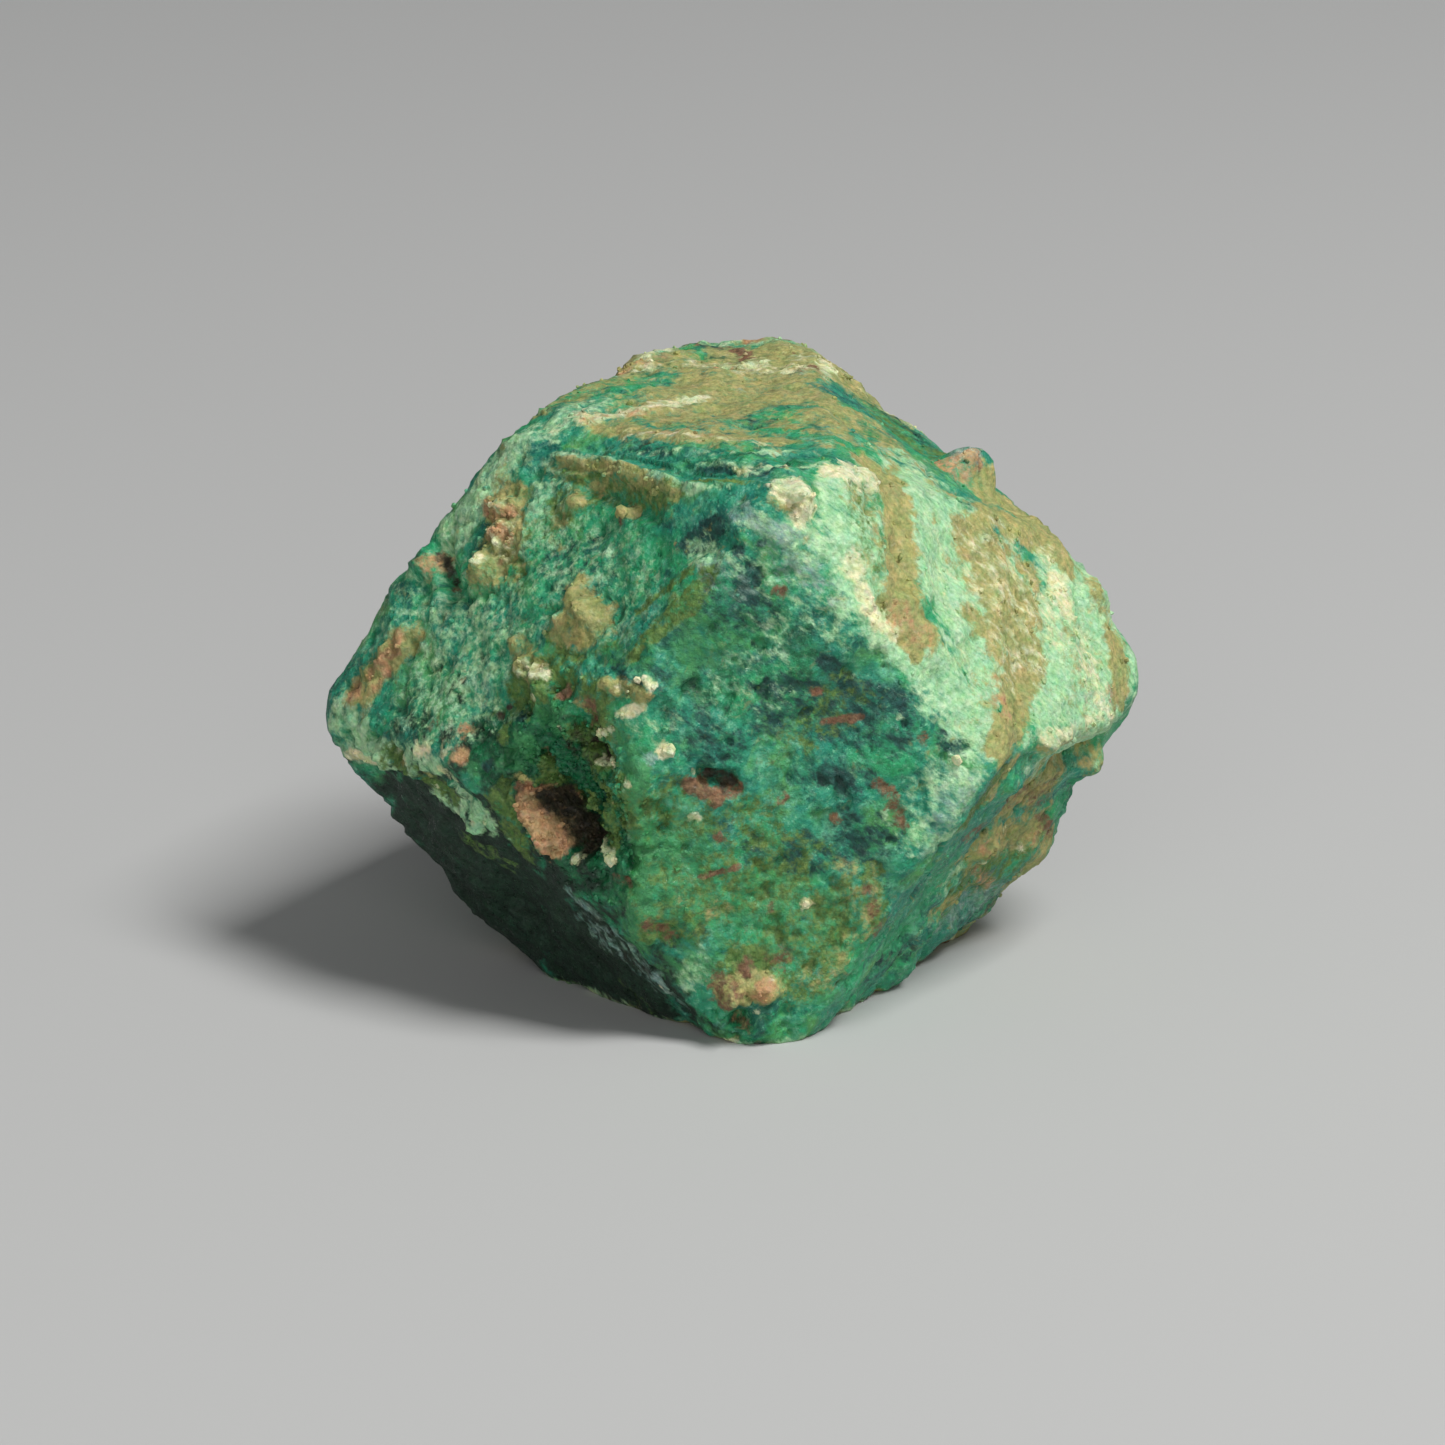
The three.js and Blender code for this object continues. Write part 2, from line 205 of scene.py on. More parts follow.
# Pigments of the crust: name, radius, strength, and the places the patch runs through.
# Green is no pigment: there the bare ground shows, and takes ochre and mint away.
PATCHES = [
    # broad washes first: the pale right-hand side
    ("cream", 2.45, 0.35, [(5.5, -3.2, 2.4)]),
    ("mint", 2.45, 1.1, [
        (3.7, -3.7, 4.4), (4.9, -3.8, 2.6), (6.3, -3.4, 1.1), (7.5, -1.8, 1), (7.5, -2.6, 0.1),
    ]),
    ("mint", 1.11, 1, [(7, -0.9, 2.6), (8, -0.9, 1.2), (8.3, -1.5, 0.2)]),
    ("mint", 1.34, 0.7, [(1.5, -6, 5.1), (2.3, -6.2, 3.4)]),
    ("mint", 0.89, 0.4, [(4.1, -6.5, -0.1), (3.5, -6.6, -1)]),
    # the top face: ochre with cream and green streaks
    ("ochre", 5.12, 0.85, [(0.1, 0.9, 6.1)]),
    ("cream", 0.36, 0.7, [(-3.4, -0.7, 6.1), (-2.2, 0, 6.1), (-0.8, 0.8, 6.1)]),
    ("cream", 0.22, 0.4, [(-2.8, -1.8, 6.1), (-1.2, -3, 6.1), (0.1, -3.5, 6.1)]),
    ("ochre", 0.36, 1, [(-3.2, -1.3, 6.1), (-1.2, -3.1, 6.1), (0.6, -3.1, 6.1)]),
    ("copper", 0.27, 0.35, [(-2.4, -2, 6.1), (-0.3, -3.3, 6.1)]),
    ("cream", 0.53, 0.45, [(-0.5, 3.7, 6.1), (1.7, 2.9, 6.1)]),
    ("green", 0.53, 0.65, [(-4.5, -0.8, 5.6), (-3.1, 0.1, 6.1), (-1.5, 2.8, 6.1)]),
    ("green", 0.49, 0.7, [(-4.1, -1.1, 5.7), (-2.5, -2.8, 5.9), (-0.8, -4.5, 6.1)]),
    ("green", 0.58, 0.7, [(-0.2, -1.6, 6.1), (1.3, -0.3, 6.1)]),
    ("green", 0.36, 0.6, [(-2.5, -2.7, 6), (-1.2, -4, 6.1)]),
    ("mint", 0.53, 0.95, [(-4.2, -0.7, 5.8), (-3.1, 0.2, 6.1)]),
    ("cream", 0.22, 0.5, [(-4.1, -0.7, 5.8), (-3.3, -0.3, 6.1)]),
    ("copper", 0.31, 0.45, [(-1.9, 3.8, 6.1), (-1.2, 4.1, 6.1)]),
    ("copper", 0.36, 0.4, [(-3.5, -0.6, 6.1), (-2.2, -0.3, 6.1)]),
    ("mauve", 0.18, 0.6, [(0.2, 1.6, 6.1)]),
    ("mauve", 0.18, 0.6, [(1.5, 2.2, 6.1), (1.5, 1.2, 6.1)]),
    ("deep", 0.31, 0.6, [(-0.3, -0.8, 6.1), (0.1, -1.1, 6.1)]),
    ("deep", 0.27, 0.6, [(-2.5, -2.6, 6), (-1.8, -3.5, 6)]),
    ("green", 0.27, 0.6, [(0.4, -2.2, 6.1), (1.6, -3.1, 6.1)]),
    # the broken upper right corner
    ("green", 0.98, 1, [(2.7, 1.8, 5.7), (3.8, 1.3, 5), (4.5, -1.1, 4.5)]),
    ("emerald", 0.45, 0.6, [(3.2, 3, 5.4), (4.4, 1.9, 4.7)]),
    ("mint", 0.67, 0.7, [(3.3, -1.6, 5.2), (4.4, -1.7, 4.6)]),
    ("leaf", 0.58, 0.7, [(2.3, -0.2, 5.9), (3.1, -0.8, 5.4)]),
    ("ochre", 0.45, 0.7, [(4, -2, 4.8), (4.7, -1.8, 4.4)]),
    ("cream", 0.31, 0.7, [(1.9, -4.3, 6), (2.3, -4.3, 5.7)]),
    ("ochre", 0.4, 0.9, [(2.5, -3.2, 5.7), (3.1, -3.4, 5.3)]),
    ("olive", 0.49, 0.6, [(3.4, 1.9, 5.3), (4.4, 0.5, 4.6)]),
    ("deep", 0.36, 0.5, [(3.7, 2.5, 5.1), (4.5, 1.1, 4.6)]),
    # the ledges under the top
    ("emerald", 0.45, 0.45, [(-1.3, -4.6, 5.9), (0.3, -5.8, 6.1)]),
    ("mint", 0.16, 0.85, [
        (-4.2, -1.3, 5.5), (-3.1, -2.7, 5.7), (-2.5, -3.7, 5.6), (-1.5, -5.1, 5.6), (0.3, -6.3, 5.8),
    ]),
    ("mint", 0.13, 0.7, [(-2.5, -2.8, 5.9), (-0.8, -4.5, 6.1), (0.9, -3.8, 6.1)]),
    ("mint", 0.11, 0.7, [(-1.3, -4.4, 6), (-0.1, -5.4, 6.1), (1.5, -4.5, 6.1)]),
    ("olive", 0.11, 0.7, [(-1.5, -4.9, 5.7), (-0.5, -5.7, 5.9), (0.4, -6.2, 5.9)]),
    ("deep", 0.11, 0.8, [(-1.3, -4.5, 5.9), (-0.1, -5.5, 6.1), (1, -4.9, 6.1)]),
    ("emerald", 0.18, 0.7, [(-0.9, -4.6, 6.1), (0.8, -4.6, 6.1)]),
    ("cream", 0.13, 0.35, [(-0.5, -5.2, 6), (0.8, -5.2, 6.1)]),
    ("ochre", 0.2, 1, [(-4.1, -1.6, 5.4), (-3.2, -2.7, 5.6), (-2.5, -3.7, 5.6)]),
    ("olive", 0.27, 0.6, [(-4.1, -1.9, 5.2), (-3.2, -3, 5.3)]),
    ("ochre", 0.18, 0.65, [(-2.9, -3.3, 5.5), (-2.3, -4.1, 5.5), (-1.8, -4.9, 5.5)]),
    ("olive", 0.27, 0.8, [(-2.9, -3.4, 5.4), (-1.8, -4.8, 5.4)]),
    ("olive", 0.4, 0.6, [(-2.9, -3.4, 5.3), (-1.9, -4.8, 5.3)]),
    ("ochre", 0.36, 0.4, [(-4, -1.9, 5.4), (-2.9, -3.2, 5.4), (-1.9, -4.7, 5.4)]),
    ("leaf", 0.45, 0.5, [(-3.7, -2.5, 5.2), (-2.4, -4.2, 5.2)]),
    # the pale worn edge on the right of the front
    ("cream", 0.45, 1.1, [(0.4, -6.2, 5.9), (0.7, -6.2, 5.5)]),
    ("ochre", 0.49, 0.7, [(0.4, -6.3, 5.7)]),
    ("mint", 0.8, 0.65, [(0.6, -6.4, 5), (1.7, -6.1, 4.5)]),
    ("mint", 0.8, 1, [(1.6, -6.1, 4.7), (2.1, -6.2, 3.6), (2.8, -6.2, 2.5)]),
    ("mint", 0.8, 0.95, [(2.8, -6.3, 2.4), (4, -6, 1.5), (4.7, -6.1, 0.3)]),
    ("mint", 0.67, 0.85, [(1.6, -5.3, 5.8), (2.2, -5.3, 4.9)]),
    ("cream", 0.45, 0.85, [(1.6, -4.9, 6), (2.3, -4.6, 5.6)]),
    ("cream", 0.31, 0.8, [(1.7, -6.2, 4.3), (2, -6.3, 3.4), (2.6, -6.3, 2.7)]),
    # bands of the upper right face
    ("ochre", 0.98, 0.42, [(2.3, -4.8, 5.4), (2.7, -5.5, 4.1), (2.9, -6, 2.9)]),
    ("ochre", 1.34, 0.4, [(5, -3.1, 3.3), (5.4, -4, 1.7), (5.2, -5.4, 0.6)]),
    ("olive", 0.76, 0.35, [(2.1, -5.1, 5.3), (2.2, -5.9, 4.2)]),
    ("ochre", 0.6, 1.3, [(2.6, -3.4, 5.6), (3, -4.3, 4.9), (2.9, -5.8, 3.5)]),
    ("ochre", 0.6, 1.2, [(2.7, -6, 3.2), (3.2, -6, 2.5)]),
    ("copper", 0.36, 0.5, [(2.7, -6.1, 3), (3.3, -6, 2.5)]),
    ("mint", 0.53, 1.2, [(3.9, -3.3, 4.5), (4.1, -4.1, 3.5)]),
    ("mint", 0.49, 1.2, [(4.1, -4.1, 3.5), (4.2, -4.9, 2.5), (4.9, -5.4, 1.1)]),
    ("ochre", 0.94, 1.3, [(5, -2.7, 3.6), (5.3, -3.4, 2.4), (5.8, -3.7, 1.4)]),
    ("ochre", 0.67, 1.3, [(5.8, -2.8, 2.3), (5.8, -4.4, 0.8), (5.2, -5.8, 0.1)]),
    ("ochre", 0.58, 1.1, [(6.2, -2, 2.6)]),
    ("ochre", 0.4, 0.9, [(4.6, -4.3, 2.5), (5.2, -4.4, 1.6)]),
    ("copper", 0.53, 0.4, [(5.2, -5.1, 1), (5.2, -5.4, 0.6)]),
    ("olive", 0.45, 0.4, [(4.9, -4.5, 1.9)]),
    ("ochre", 1.34, 0.34, [(7.1, -1.5, 1.8), (7.4, -2.8, 0.2)]),
    ("cream", 0.58, 0.5, [(7.4, -2, 0.9), (7.5, -2.6, 0.1)]),
    ("cream", 0.45, 0.9, [(6.9, -1.5, 2.2), (6.9, -1.8, 1.8)]),
    ("cream", 0.31, 0.5, [(6.5, -2.1, 2.1), (6.5, -2.8, 1.3)]),
    ("copper", 0.22, 0.6, [(8, -2, -0.1)]),
    ("ochre", 0.45, 1.2, [(8.2, -1, 0.8), (8.3, -1.6, -0.2)]),
    ("ochre", 0.58, 1.1, [(5.2, -1.8, 4.1), (6.6, -0.9, 3.1), (7.1, -0.8, 2.6)]),
    ("ochre", 0.76, 1, [(5.2, -0.6, 4.2), (6.1, 0.1, 3.6), (6.9, -0.5, 3.1)]),
    ("ochre", 0.31, 0.7, [(7.6, -0.7, 2), (8.4, -0.8, 0.7)]),
    ("cream", 0.36, 0.6, [(6.7, -1.1, 2.8)]),
    ("copper", 0.22, 0.6, [(5.3, -5.2, 0.7)]),
    ("ochre", 0.36, 0.8, [(4.6, -1.8, 4.5), (5.7, -1.1, 3.8), (6.7, -0.8, 3.1)]),
    ("cream", 0.27, 0.7, [(6.2, -4.5, -0.4), (6.9, -3.6, -0.4)]),
    ("cream", 0.16, 0.6, [(7.2, -3.1, -0.4), (7.8, -2.3, -0.4)]),
    ("copper", 0.45, 0.6, [(4.6, -0.3, 4.5), (4.8, -0.3, 4.4)]),
    ("ochre", 0.67, 1, [(4.8, -0.4, 4.4)]),
    ("mauve", 0.27, 0.8, [(4.7, 0.1, 4.5), (4.9, -0.1, 4.3)]),
    ("ochre", 0.4, 1, [(5, -0.3, 4.3), (5.3, -0.4, 4.1)]),
    ("cream", 0.18, 0.6, [(4.7, -0.1, 4.5)]),
    ("ochre", 0.89, 0.7, [(4.8, -0.5, 4.4)]),
    ("rust", 0.2, 0.6, [(5, -0.1, 4.3)]),
    # lower right face
    ("ochre", 0.89, 0.9, [(5.7, -3.6, -2.1), (6.7, -2.2, -2.1)]),
    ("olive", 0.49, 0.9, [(5.2, -5.4, -0.9), (4.4, -5.9, -1.6)]),
    ("ochre", 0.33, 0.8, [(5.5, -5.2, -0.7), (5, -5.3, -1.4)]),
    ("ochre", 0.27, 0.7, [(6.1, -4.5, -0.6), (6.7, -3.8, -0.5)]),
    ("ochre", 0.62, 0.8, [(6.6, -0.5, -3.9), (6.1, -0.1, -5)]),
    ("ochre", 0.36, 0.6, [(4.8, -2.5, -4.6), (3.9, -3.7, -4.6)]),
    ("copper", 0.27, 0.5, [(5, -2.7, -4), (5.4, -1.5, -4.7)]),
    ("rust", 0.22, 0.6, [(6.6, -1.4, -3.1), (6.8, -0.4, -3.7)]),
    ("rust", 0.53, 0.4, [(5.5, -4.1, -1.9), (6.6, -1.8, -2.7)]),
    ("ochre", 0.58, 0.7, [(7.6, -1.2, -1.8)]),
    # umber: painted shade in the recess under the lip, with some brown
    ("umber_and_painted_shade", 0.2, 0.6, [(6.8, -2, -2.1)]),
    ("ochre", 0.76, 0.85, [(5, -3.6, -3.1), (6.3, -1.4, -3.4)]),
    ("rust", 0.2, 0.6, [(4.5, -4.9, -2.5), (4.9, -4.5, -2.3)]),
    ("cream", 0.22, 0.6, [(5.5, -2.9, -3)]),
    ("cream", 0.2, 0.6, [(6.1, -1.3, -3.9)]),
    ("cream", 0.18, 0.5, [(5, -3.3, -3.5)]),
    ("olive", 1.34, 0.6, [(4.8, -2.8, -4.1), (5.9, -1.6, -3.8)]),
    ("copper", 0.31, 0.5, [(5, -3.6, -3.1)]),
    ("copper", 0.27, 0.5, [(6.3, -1.2, -3.6)]),
    ("mauve", 0.58, 0.5, [(6, -0.3, -5), (4.5, -2.2, -5.2)]),
    ("deep", 0.89, 0.5, [(4.8, -1.2, -5.8), (6, 0, -5.2)]),
    ("mint", 0.4, 0.5, [(4.2, -3.9, -4), (4.5, -3.8, -3.6)]),
    ("green", 0.67, 0.8, [(3.4, -3.9, -5.1), (2.7, -4.4, -5.6)]),
    ("deep", 0.58, 0.5, [(2.5, -4.6, -5.7), (3.2, -3.9, -5.3)]),
    # front face: haze and shade under the top corner
    ("deep", 0.31, 1, [(-1.7, -5.7, 4.7), (-1.1, -6.1, 5.1)]),
    ("deep", 0.18, 0.9, [(-0.7, -6.6, 4.7)]),
    ("deep", 0.18, 0.9, [(-0.4, -6.6, 4.2)]),
    ("deep", 0.16, 0.8, [(-0.2, -6.6, 4.9)]),
    ("deep", 0.16, 0.8, [(-1.4, -6.4, 4.4)]),
    ("mint", 0.36, 0.6, [(-1.6, -6, 4.6), (-0.8, -6.6, 4.4)]),
    ("mint", 0.36, 0.6, [(-0.4, -6.5, 5.3), (0, -6.6, 5.2)]),
    ("deep", 0.31, 0.4, [(-1.1, -6.3, 4.9), (-0.6, -6.5, 5.3)]),
    ("mauve", 0.49, 0.4, [(-1.2, -6.5, 4.4), (-0.7, -6.6, 3.8)]),
    ("mauve", 0.49, 0.5, [(-0.6, -6.4, 5.5), (0.2, -6.6, 4.9)]),
    ("mint", 1.11, 0.4, [(0.4, -6.6, 4.2), (1.6, -6.4, 3.5)]),
    ("mauve", 0.62, 0.45, [(0.2, -6.6, 4.5), (1, -6.5, 4)]),
    ("deep", 0.49, 0.7, [(-0.6, -6.6, 4.2), (-0.3, -6.6, 3.1)]),
    ("rust", 0.2, 0.7, [(0.2, -6.6, 3.8)]),
    # front face: middle
    ("deep", 1.02, 0.6, [(0.2, -6.6, 1.2), (2.4, -6.6, 0.8)]),
    ("deep", 0.31, 0.8, [(1.2, -6.6, 2.2), (1.7, -6.6, 1.5)]),
    ("deep", 0.27, 0.8, [(2.2, -6.6, 1.5), (2.9, -6.6, 1.2)]),
    ("deep", 0.29, 0.7, [(3.7, -6.5, 0.4), (4.3, -6.3, 0)]),
    ("deep", 0.2, 0.8, [(4.7, -6.2, 0)]),
    ("emerald", 0.27, 0.8, [(4, -6.4, 0.1), (4.7, -6.1, 0.2)]),
    ("deep", 0.8, 0.45, [(0.8, -6.6, -0.1), (1.7, -6.6, -0.4)]),
    ("deep", 0.38, 0.9, [(1.2, -6.6, -0.3), (1.5, -6.6, -0.5)]),
    ("deep", 0.49, 0.6, [(-1.2, -6.6, 3.6), (-0.6, -6.6, 2.7)]),
    ("deep", 0.49, 0.5, [(-3.1, -6.3, 2.2), (-2.6, -6.6, 1.9)]),
    ("leaf", 0.58, 0.5, [(-3.6, -5.6, 2.2), (-2.8, -6.3, 2.5)]),
    ("deep", 0.67, 0.5, [(-1.7, -6.6, 1), (-1.1, -6.6, 0.4)]),
    ("emerald", 1.34, 0.5, [(-1.5, -6.6, 2.3), (0.6, -6.6, 2.4)]),
    ("olive", 0.89, 0.45, [(-2.4, -6.6, -0.8), (-0.2, -6.6, -1.6)]),
    ("olive", 0.67, 0.45, [(1.7, -6.6, 1.5), (0.6, -6.6, 0.4)]),
    ("mint", 0.58, 0.5, [(3.4, -6.4, 1.3), (4.2, -6.1, 0.8)]),
    ("mint", 0.67, 0.6, [(3.5, -6.5, -1.9), (3.9, -6.6, -0.8)]),
    ("mint", 1.11, 0.28, [(0.2, -6.6, 2.7), (-0.7, -6.6, 1.6)]),
    ("leaf", 0.8, 0.5, [(-1.7, -6.6, 2.5), (-0.6, -6.6, 2.7)]),
    ("mint", 0.22, 0.9, [(4.1, -6.5, -0.4)]),
    ("mauve", 0.53, 0.4, [(4.1, -6.5, -0.8), (3.7, -6.6, -1.5)]),
    ("mint", 0.45, 0.5, [(4.4, -6.4, -0.4), (3.6, -6.5, -1.7)]),
    ("rust", 0.11, 0.75, [(1.2, -6.6, 0.8), (2, -6.6, 0.9)]),
    ("rust", 0.2, 0.7, [(2.3, -6.6, -0.6), (2.6, -6.6, -0.8)]),
    ("rust", 0.16, 0.65, [(2.7, -6.6, -0.9), (2.9, -6.6, -1.6)]),
    ("rust", 0.16, 0.6, [(1, -6.6, 1.5)]),
    ("rust", 0.22, 0.6, [(3.3, -6.6, 0.4)]),
    ("rust", 0.18, 0.6, [(0.3, -6.6, -0.9)]),
    ("rust", 0.16, 0.6, [(1.4, -6.6, -1.4)]),
    ("rust", 0.16, 0.6, [(-1.1, -6.6, -1.7)]),
    # front face: the pit
    ("rust", 0.27, 0.9, [(-1.7, -6.6, -0.5), (-1.2, -6.6, -0.8)]),
    ("rust", 0.22, 0.7, [(-0.9, -6.6, -0.7), (-0.7, -6.6, -0.6)]),
    ("ochre", 0.2, 0.5, [(-1.5, -6.6, -0.6), (-1.2, -6.6, -0.8)]),
    # umber: painted shade in the pit, with some brown
    ("umber_and_painted_shade", 0.18, 0.8, [(-1.3, -6.6, -0.4), (-0.8, -6.6, -0.5)]),
    ("cream", 0.11, 0.7, [(-1.7, -6.6, -0.2), (-1.5, -6.6, -0.3)]),
    # front face: lower part
    ("olive", 1.25, 0.5, [(-1.7, -6.6, -3), (0.2, -6.6, -2.7)]),
    ("ochre", 0.45, 0.25, [(-2, -6.6, -3.2), (-1.1, -6.6, -3.4)]),
    ("deep", 0.45, 0.5, [(-0.5, -6.6, -1.9), (-0.2, -6.6, -2.3)]),
    ("rust", 0.11, 0.8, [(-1.5, -6.6, -2.6), (-0.7, -6.6, -2.4)]),
    ("rust", 0.18, 0.5, [(0, -6.6, -3.4)]),
    ("cream", 0.16, 0.8, [(0.8, -6.6, -3.3)]),
    ("deep", 0.76, 0.6, [(0.6, -6.6, -2.3), (2.1, -6.6, -1.9)]),
    ("ochre", 0.58, 0.35, [(1.8, -6.6, -2.8), (2.4, -6.5, -3.3)]),
    ("olive", 0.89, 0.5, [(1.8, -6.6, -3.2), (0.6, -6.6, -4.1)]),
    ("rust", 0.18, 0.6, [(2.1, -6.6, -3), (2.4, -6.3, -4.1)]),
    ("leaf", 0.89, 0.3, [(0, -6.6, -4.3), (1.3, -6.3, -5.5)]),
    ("olive", 0.58, 0.6, [(0.6, -6.6, -5.1), (1.3, -6.6, -4.6)]),
    ("ochre", 0.31, 0.5, [(2.2, -6.6, -3.4), (1.9, -6.5, -4.2), (1.4, -6.5, -4.8)]),
    ("olive", 0.45, 0.6, [(2.2, -6.6, -2.8), (2.3, -6.5, -3.7)]),
    ("ochre", 0.45, 0.35, [(0.9, -6.6, -5.1), (1.5, -6.5, -4.8)]),
    ("leaf", 1.34, 0.6, [(-2, -6.6, -2), (-1.7, -6.6, -3.8)]),
    ("leaf", 1.34, 0.6, [(-0.2, -6.6, -3.2), (1.3, -6.6, -3.9)]),
    ("leaf", 1.11, 0.6, [(-0.9, -6.6, -4.5)]),
    ("olive", 0.8, 1, [(-0.5, -6.6, -4.7)]),
    ("ochre", 0.31, 0.35, [(-0.7, -6.6, -4.8)]),
    ("rust", 0.4, 0.6, [(-1.1, -6.6, -5), (-1, -6.6, -5.4)]),
    ("ochre", 0.49, 1.2, [(-0.7, -6.6, -5.2), (-0.2, -6.6, -5.1)]),
    ("rust", 0.45, 0.45, [(0.2, -6.6, -4.6)]),
    ("rust", 0.29, 0.8, [(-0.5, -6.6, -4.7)]),
    ("copper", 0.29, 0.8, [(-0.2, -6.6, -5.3), (-0.1, -6.6, -5.1)]),
    ("cream", 0.13, 0.7, [(-0.3, -6.6, -5.7)]),
    ("cream", 0.13, 0.6, [(0, -6.6, -5)]),
    # umber: painted shade in the hollow of the nodule
    ("umber_and_painted_shade", 0.2, 0.4, [(-0.6, -6.6, -6), (-0.5, -6.6, -6.1)]),
    ("copper", 0.18, 0.5, [(-0.7, -6.6, -5.9), (-0.5, -6.6, -6.1)]),
    ("olive", 0.45, 0.7, [(-2.5, -6.5, -3.7)]),
    ("rust", 0.2, 0.6, [(-2.6, -6.5, -3.6), (-2.2, -6.6, -3.9)]),
    ("mint", 0.4, 0.6, [(-1.5, -6.6, -4.6), (-1.8, -6.5, -5)]),
    # the light ridge beside the broken corner
    ("leaf", 0.33, 1.2, [(-2.9, -6.6, -0.1), (-2.8, -6.6, -1.9), (-2.7, -6.4, -4)]),
    ("mint", 0.27, 0.8, [(-2.9, -6.6, -0.7), (-2.8, -6.6, -2.4), (-2.7, -6.5, -3.5)]),
    ("mint", 0.4, 0.35, [(-2.8, -6.6, 0.9), (-2.3, -6.6, 0.7)]),
    ("leaf", 0.49, 0.6, [(-3.2, -6.4, 0.5), (-2.8, -6.6, 0.1)]),
    ("mint", 0.31, 0.35, [(-2.4, -6.6, -0.6), (-2.6, -6.6, -1.5)]),
    ("leaf", 0.45, 0.5, [(-3.1, -6.5, -2.9), (-2.8, -6.1, -4.4)]),
    # the broken corner
    ("emerald", 1.78, 0.9, [(-5, -5.2, 0.1), (-3.8, -6, -2.3)]),
    ("leaf", 0.58, 0.7, [(-4.8, -5.2, 0.9), (-4.5, -5.5, 0.6)]),
    ("leaf", 0.45, 0.6, [(-5.5, -4.8, -0.4), (-5.2, -5, -0.2)]),
    ("emerald", 0.67, 1, [(-5.7, -4.6, 0), (-5.7, -4.7, -0.7)]),
    ("emerald", 0.76, 1, [(-5.9, -4.5, -0.3)]),
    ("emerald", 0.58, 1, [(-4.7, -5.3, -2.4), (-3.6, -6.2, -2.5)]),
    ("olive", 0.58, 0.8, [(-3.7, -6, 1.3), (-3.8, -6, 0)]),
    ("olive", 0.45, 0.6, [(-3.2, -6.4, -0.4), (-3.1, -6.5, -1.3)]),
    ("leaf", 0.24, 1.3, [(-2.9, -6.6, -1.3), (-2.8, -6.6, -2.8)]),
    ("olive", 0.49, 0.7, [(-5.6, -4.7, -1.3), (-5.3, -4.6, -2.2)]),
    ("copper", 0.33, 1.2, [(-5.1, -5.1, -1.3), (-4.8, -5.3, -1.7), (-4.5, -5.5, -2.1)]),
    ("copper", 0.2, 0.8, [(-4.7, -5.4, -1.7), (-4.4, -5.6, -2.1)]),
    ("rust", 0.18, 0.8, [(-5.3, -4.9, -1), (-5.1, -5.1, -1.1)]),
    # umber: painted shade in the trench of the broken corner
    ("umber_and_painted_shade", 0.18, 0.9, [(-5, -5.2, -1.2), (-4.6, -5.5, -1.6), (-4.1, -5.8, -2.2)]),
    # painted shade: dark green along the same trench
    ("shade", 0.24, 0.7, [(-5, -5.2, -1.2), (-4.6, -5.5, -1.6), (-4.1, -5.8, -2.2)]),
    ("olive", 0.2, 0.9, [(-4.2, -5.8, -1.1), (-4.1, -5.8, -2)]),
    ("emerald", 0.18, 1, [(-3.9, -5.9, -0.9), (-3.6, -6.2, -1.3)]),
    ("copper", 0.11, 0.5, [(-4.7, -5.4, -1.4), (-4.5, -5.5, -1.7)]),
    ("olive", 0.31, 0.8, [(-3.6, -6.2, -0.8), (-3.5, -6.2, -1.7)]),
    ("cream", 0.09, 0.5, [(-3, -6.5, -0.3), (-3, -6.5, -0.4)]),
    ("emerald", 0.22, 1.3, [(-4.6, -5.4, 0.9)]),
    # umber: painted shade in the small holes of the broken corner
    ("umber_and_painted_shade", 0.24, 0.42, [(-4.3, -5.7, 0.7), (-4.1, -5.8, 0.2), (-4, -5.9, -0.3)]),
    ("olive", 0.27, 0.6, [(-4.2, -5.7, 0.5), (-4, -5.9, -0.1)]),
    ("ochre", 0.16, 0.7, [(-4.1, -5.8, 1.2), (-3.9, -5.9, 0.9)]),
    ("leaf", 0.27, 1.1, [(-5.2, -5, 0.1)]),
    ("leaf", 0.22, 1, [(-3.7, -6.1, -0.4)]),
    ("cream", 0.09, 0.7, [(-4.5, -5.5, 0.5)]),
    ("rust", 0.16, 0.7, [(-4.9, -5.2, -0.2)]),
    ("ochre", 0.13, 0.7, [(-5.4, -4.9, -0.8), (-5.2, -5, -0.9)]),
    ("olive", 0.24, 0.8, [(-5.7, -4.7, 0.1)]),
    ("deep", 0.2, 0.8, [(-6, -4.5, -0.6)]),
    ("leaf", 0.22, 0.9, [(-6.2, -4.3, -0.7)]),
    ("cream", 0.09, 0.7, [(-4.9, -4.9, 1)]),
    ("emerald", 0.31, 1.2, [(-6.1, -4.2, 0.1)]),
    ("umber_and_painted_shade", 0.24, 0.45, [(-4.4, -5.6, 0.4), (-4.3, -5.7, 0)]),
    ("emerald", 0.27, 1.2, [(-5.3, -4.9, -0.1)]),
    ("olive", 0.27, 0.8, [(-4.9, -5.2, -0.5), (-4.9, -5.2, -0.9)]),
    ("deep", 0.22, 0.8, [(-3.6, -6.1, 1), (-4, -5.9, 0.4)]),
    ("olive", 0.31, 0.6, [(-4.8, -5.3, -1.4), (-4.6, -5.5, -1.6)]),
    ("rust", 0.22, 0.85, [(-4.4, -5.4, 1.3)]),
    ("rust", 0.27, 0.55, [(-3.8, -6, 1.3), (-3.9, -5.9, 0.6)]),
    ("rust", 0.24, 0.6, [(-3.2, -6.4, -2.6)]),
    ("cream", 0.11, 0.8, [(-3.7, -6, 0.5), (-3.4, -6.3, 0.7)]),
    ("cream", 0.11, 0.8, [(-3.8, -6, -0.2), (-3.4, -6.3, -0.1)]),
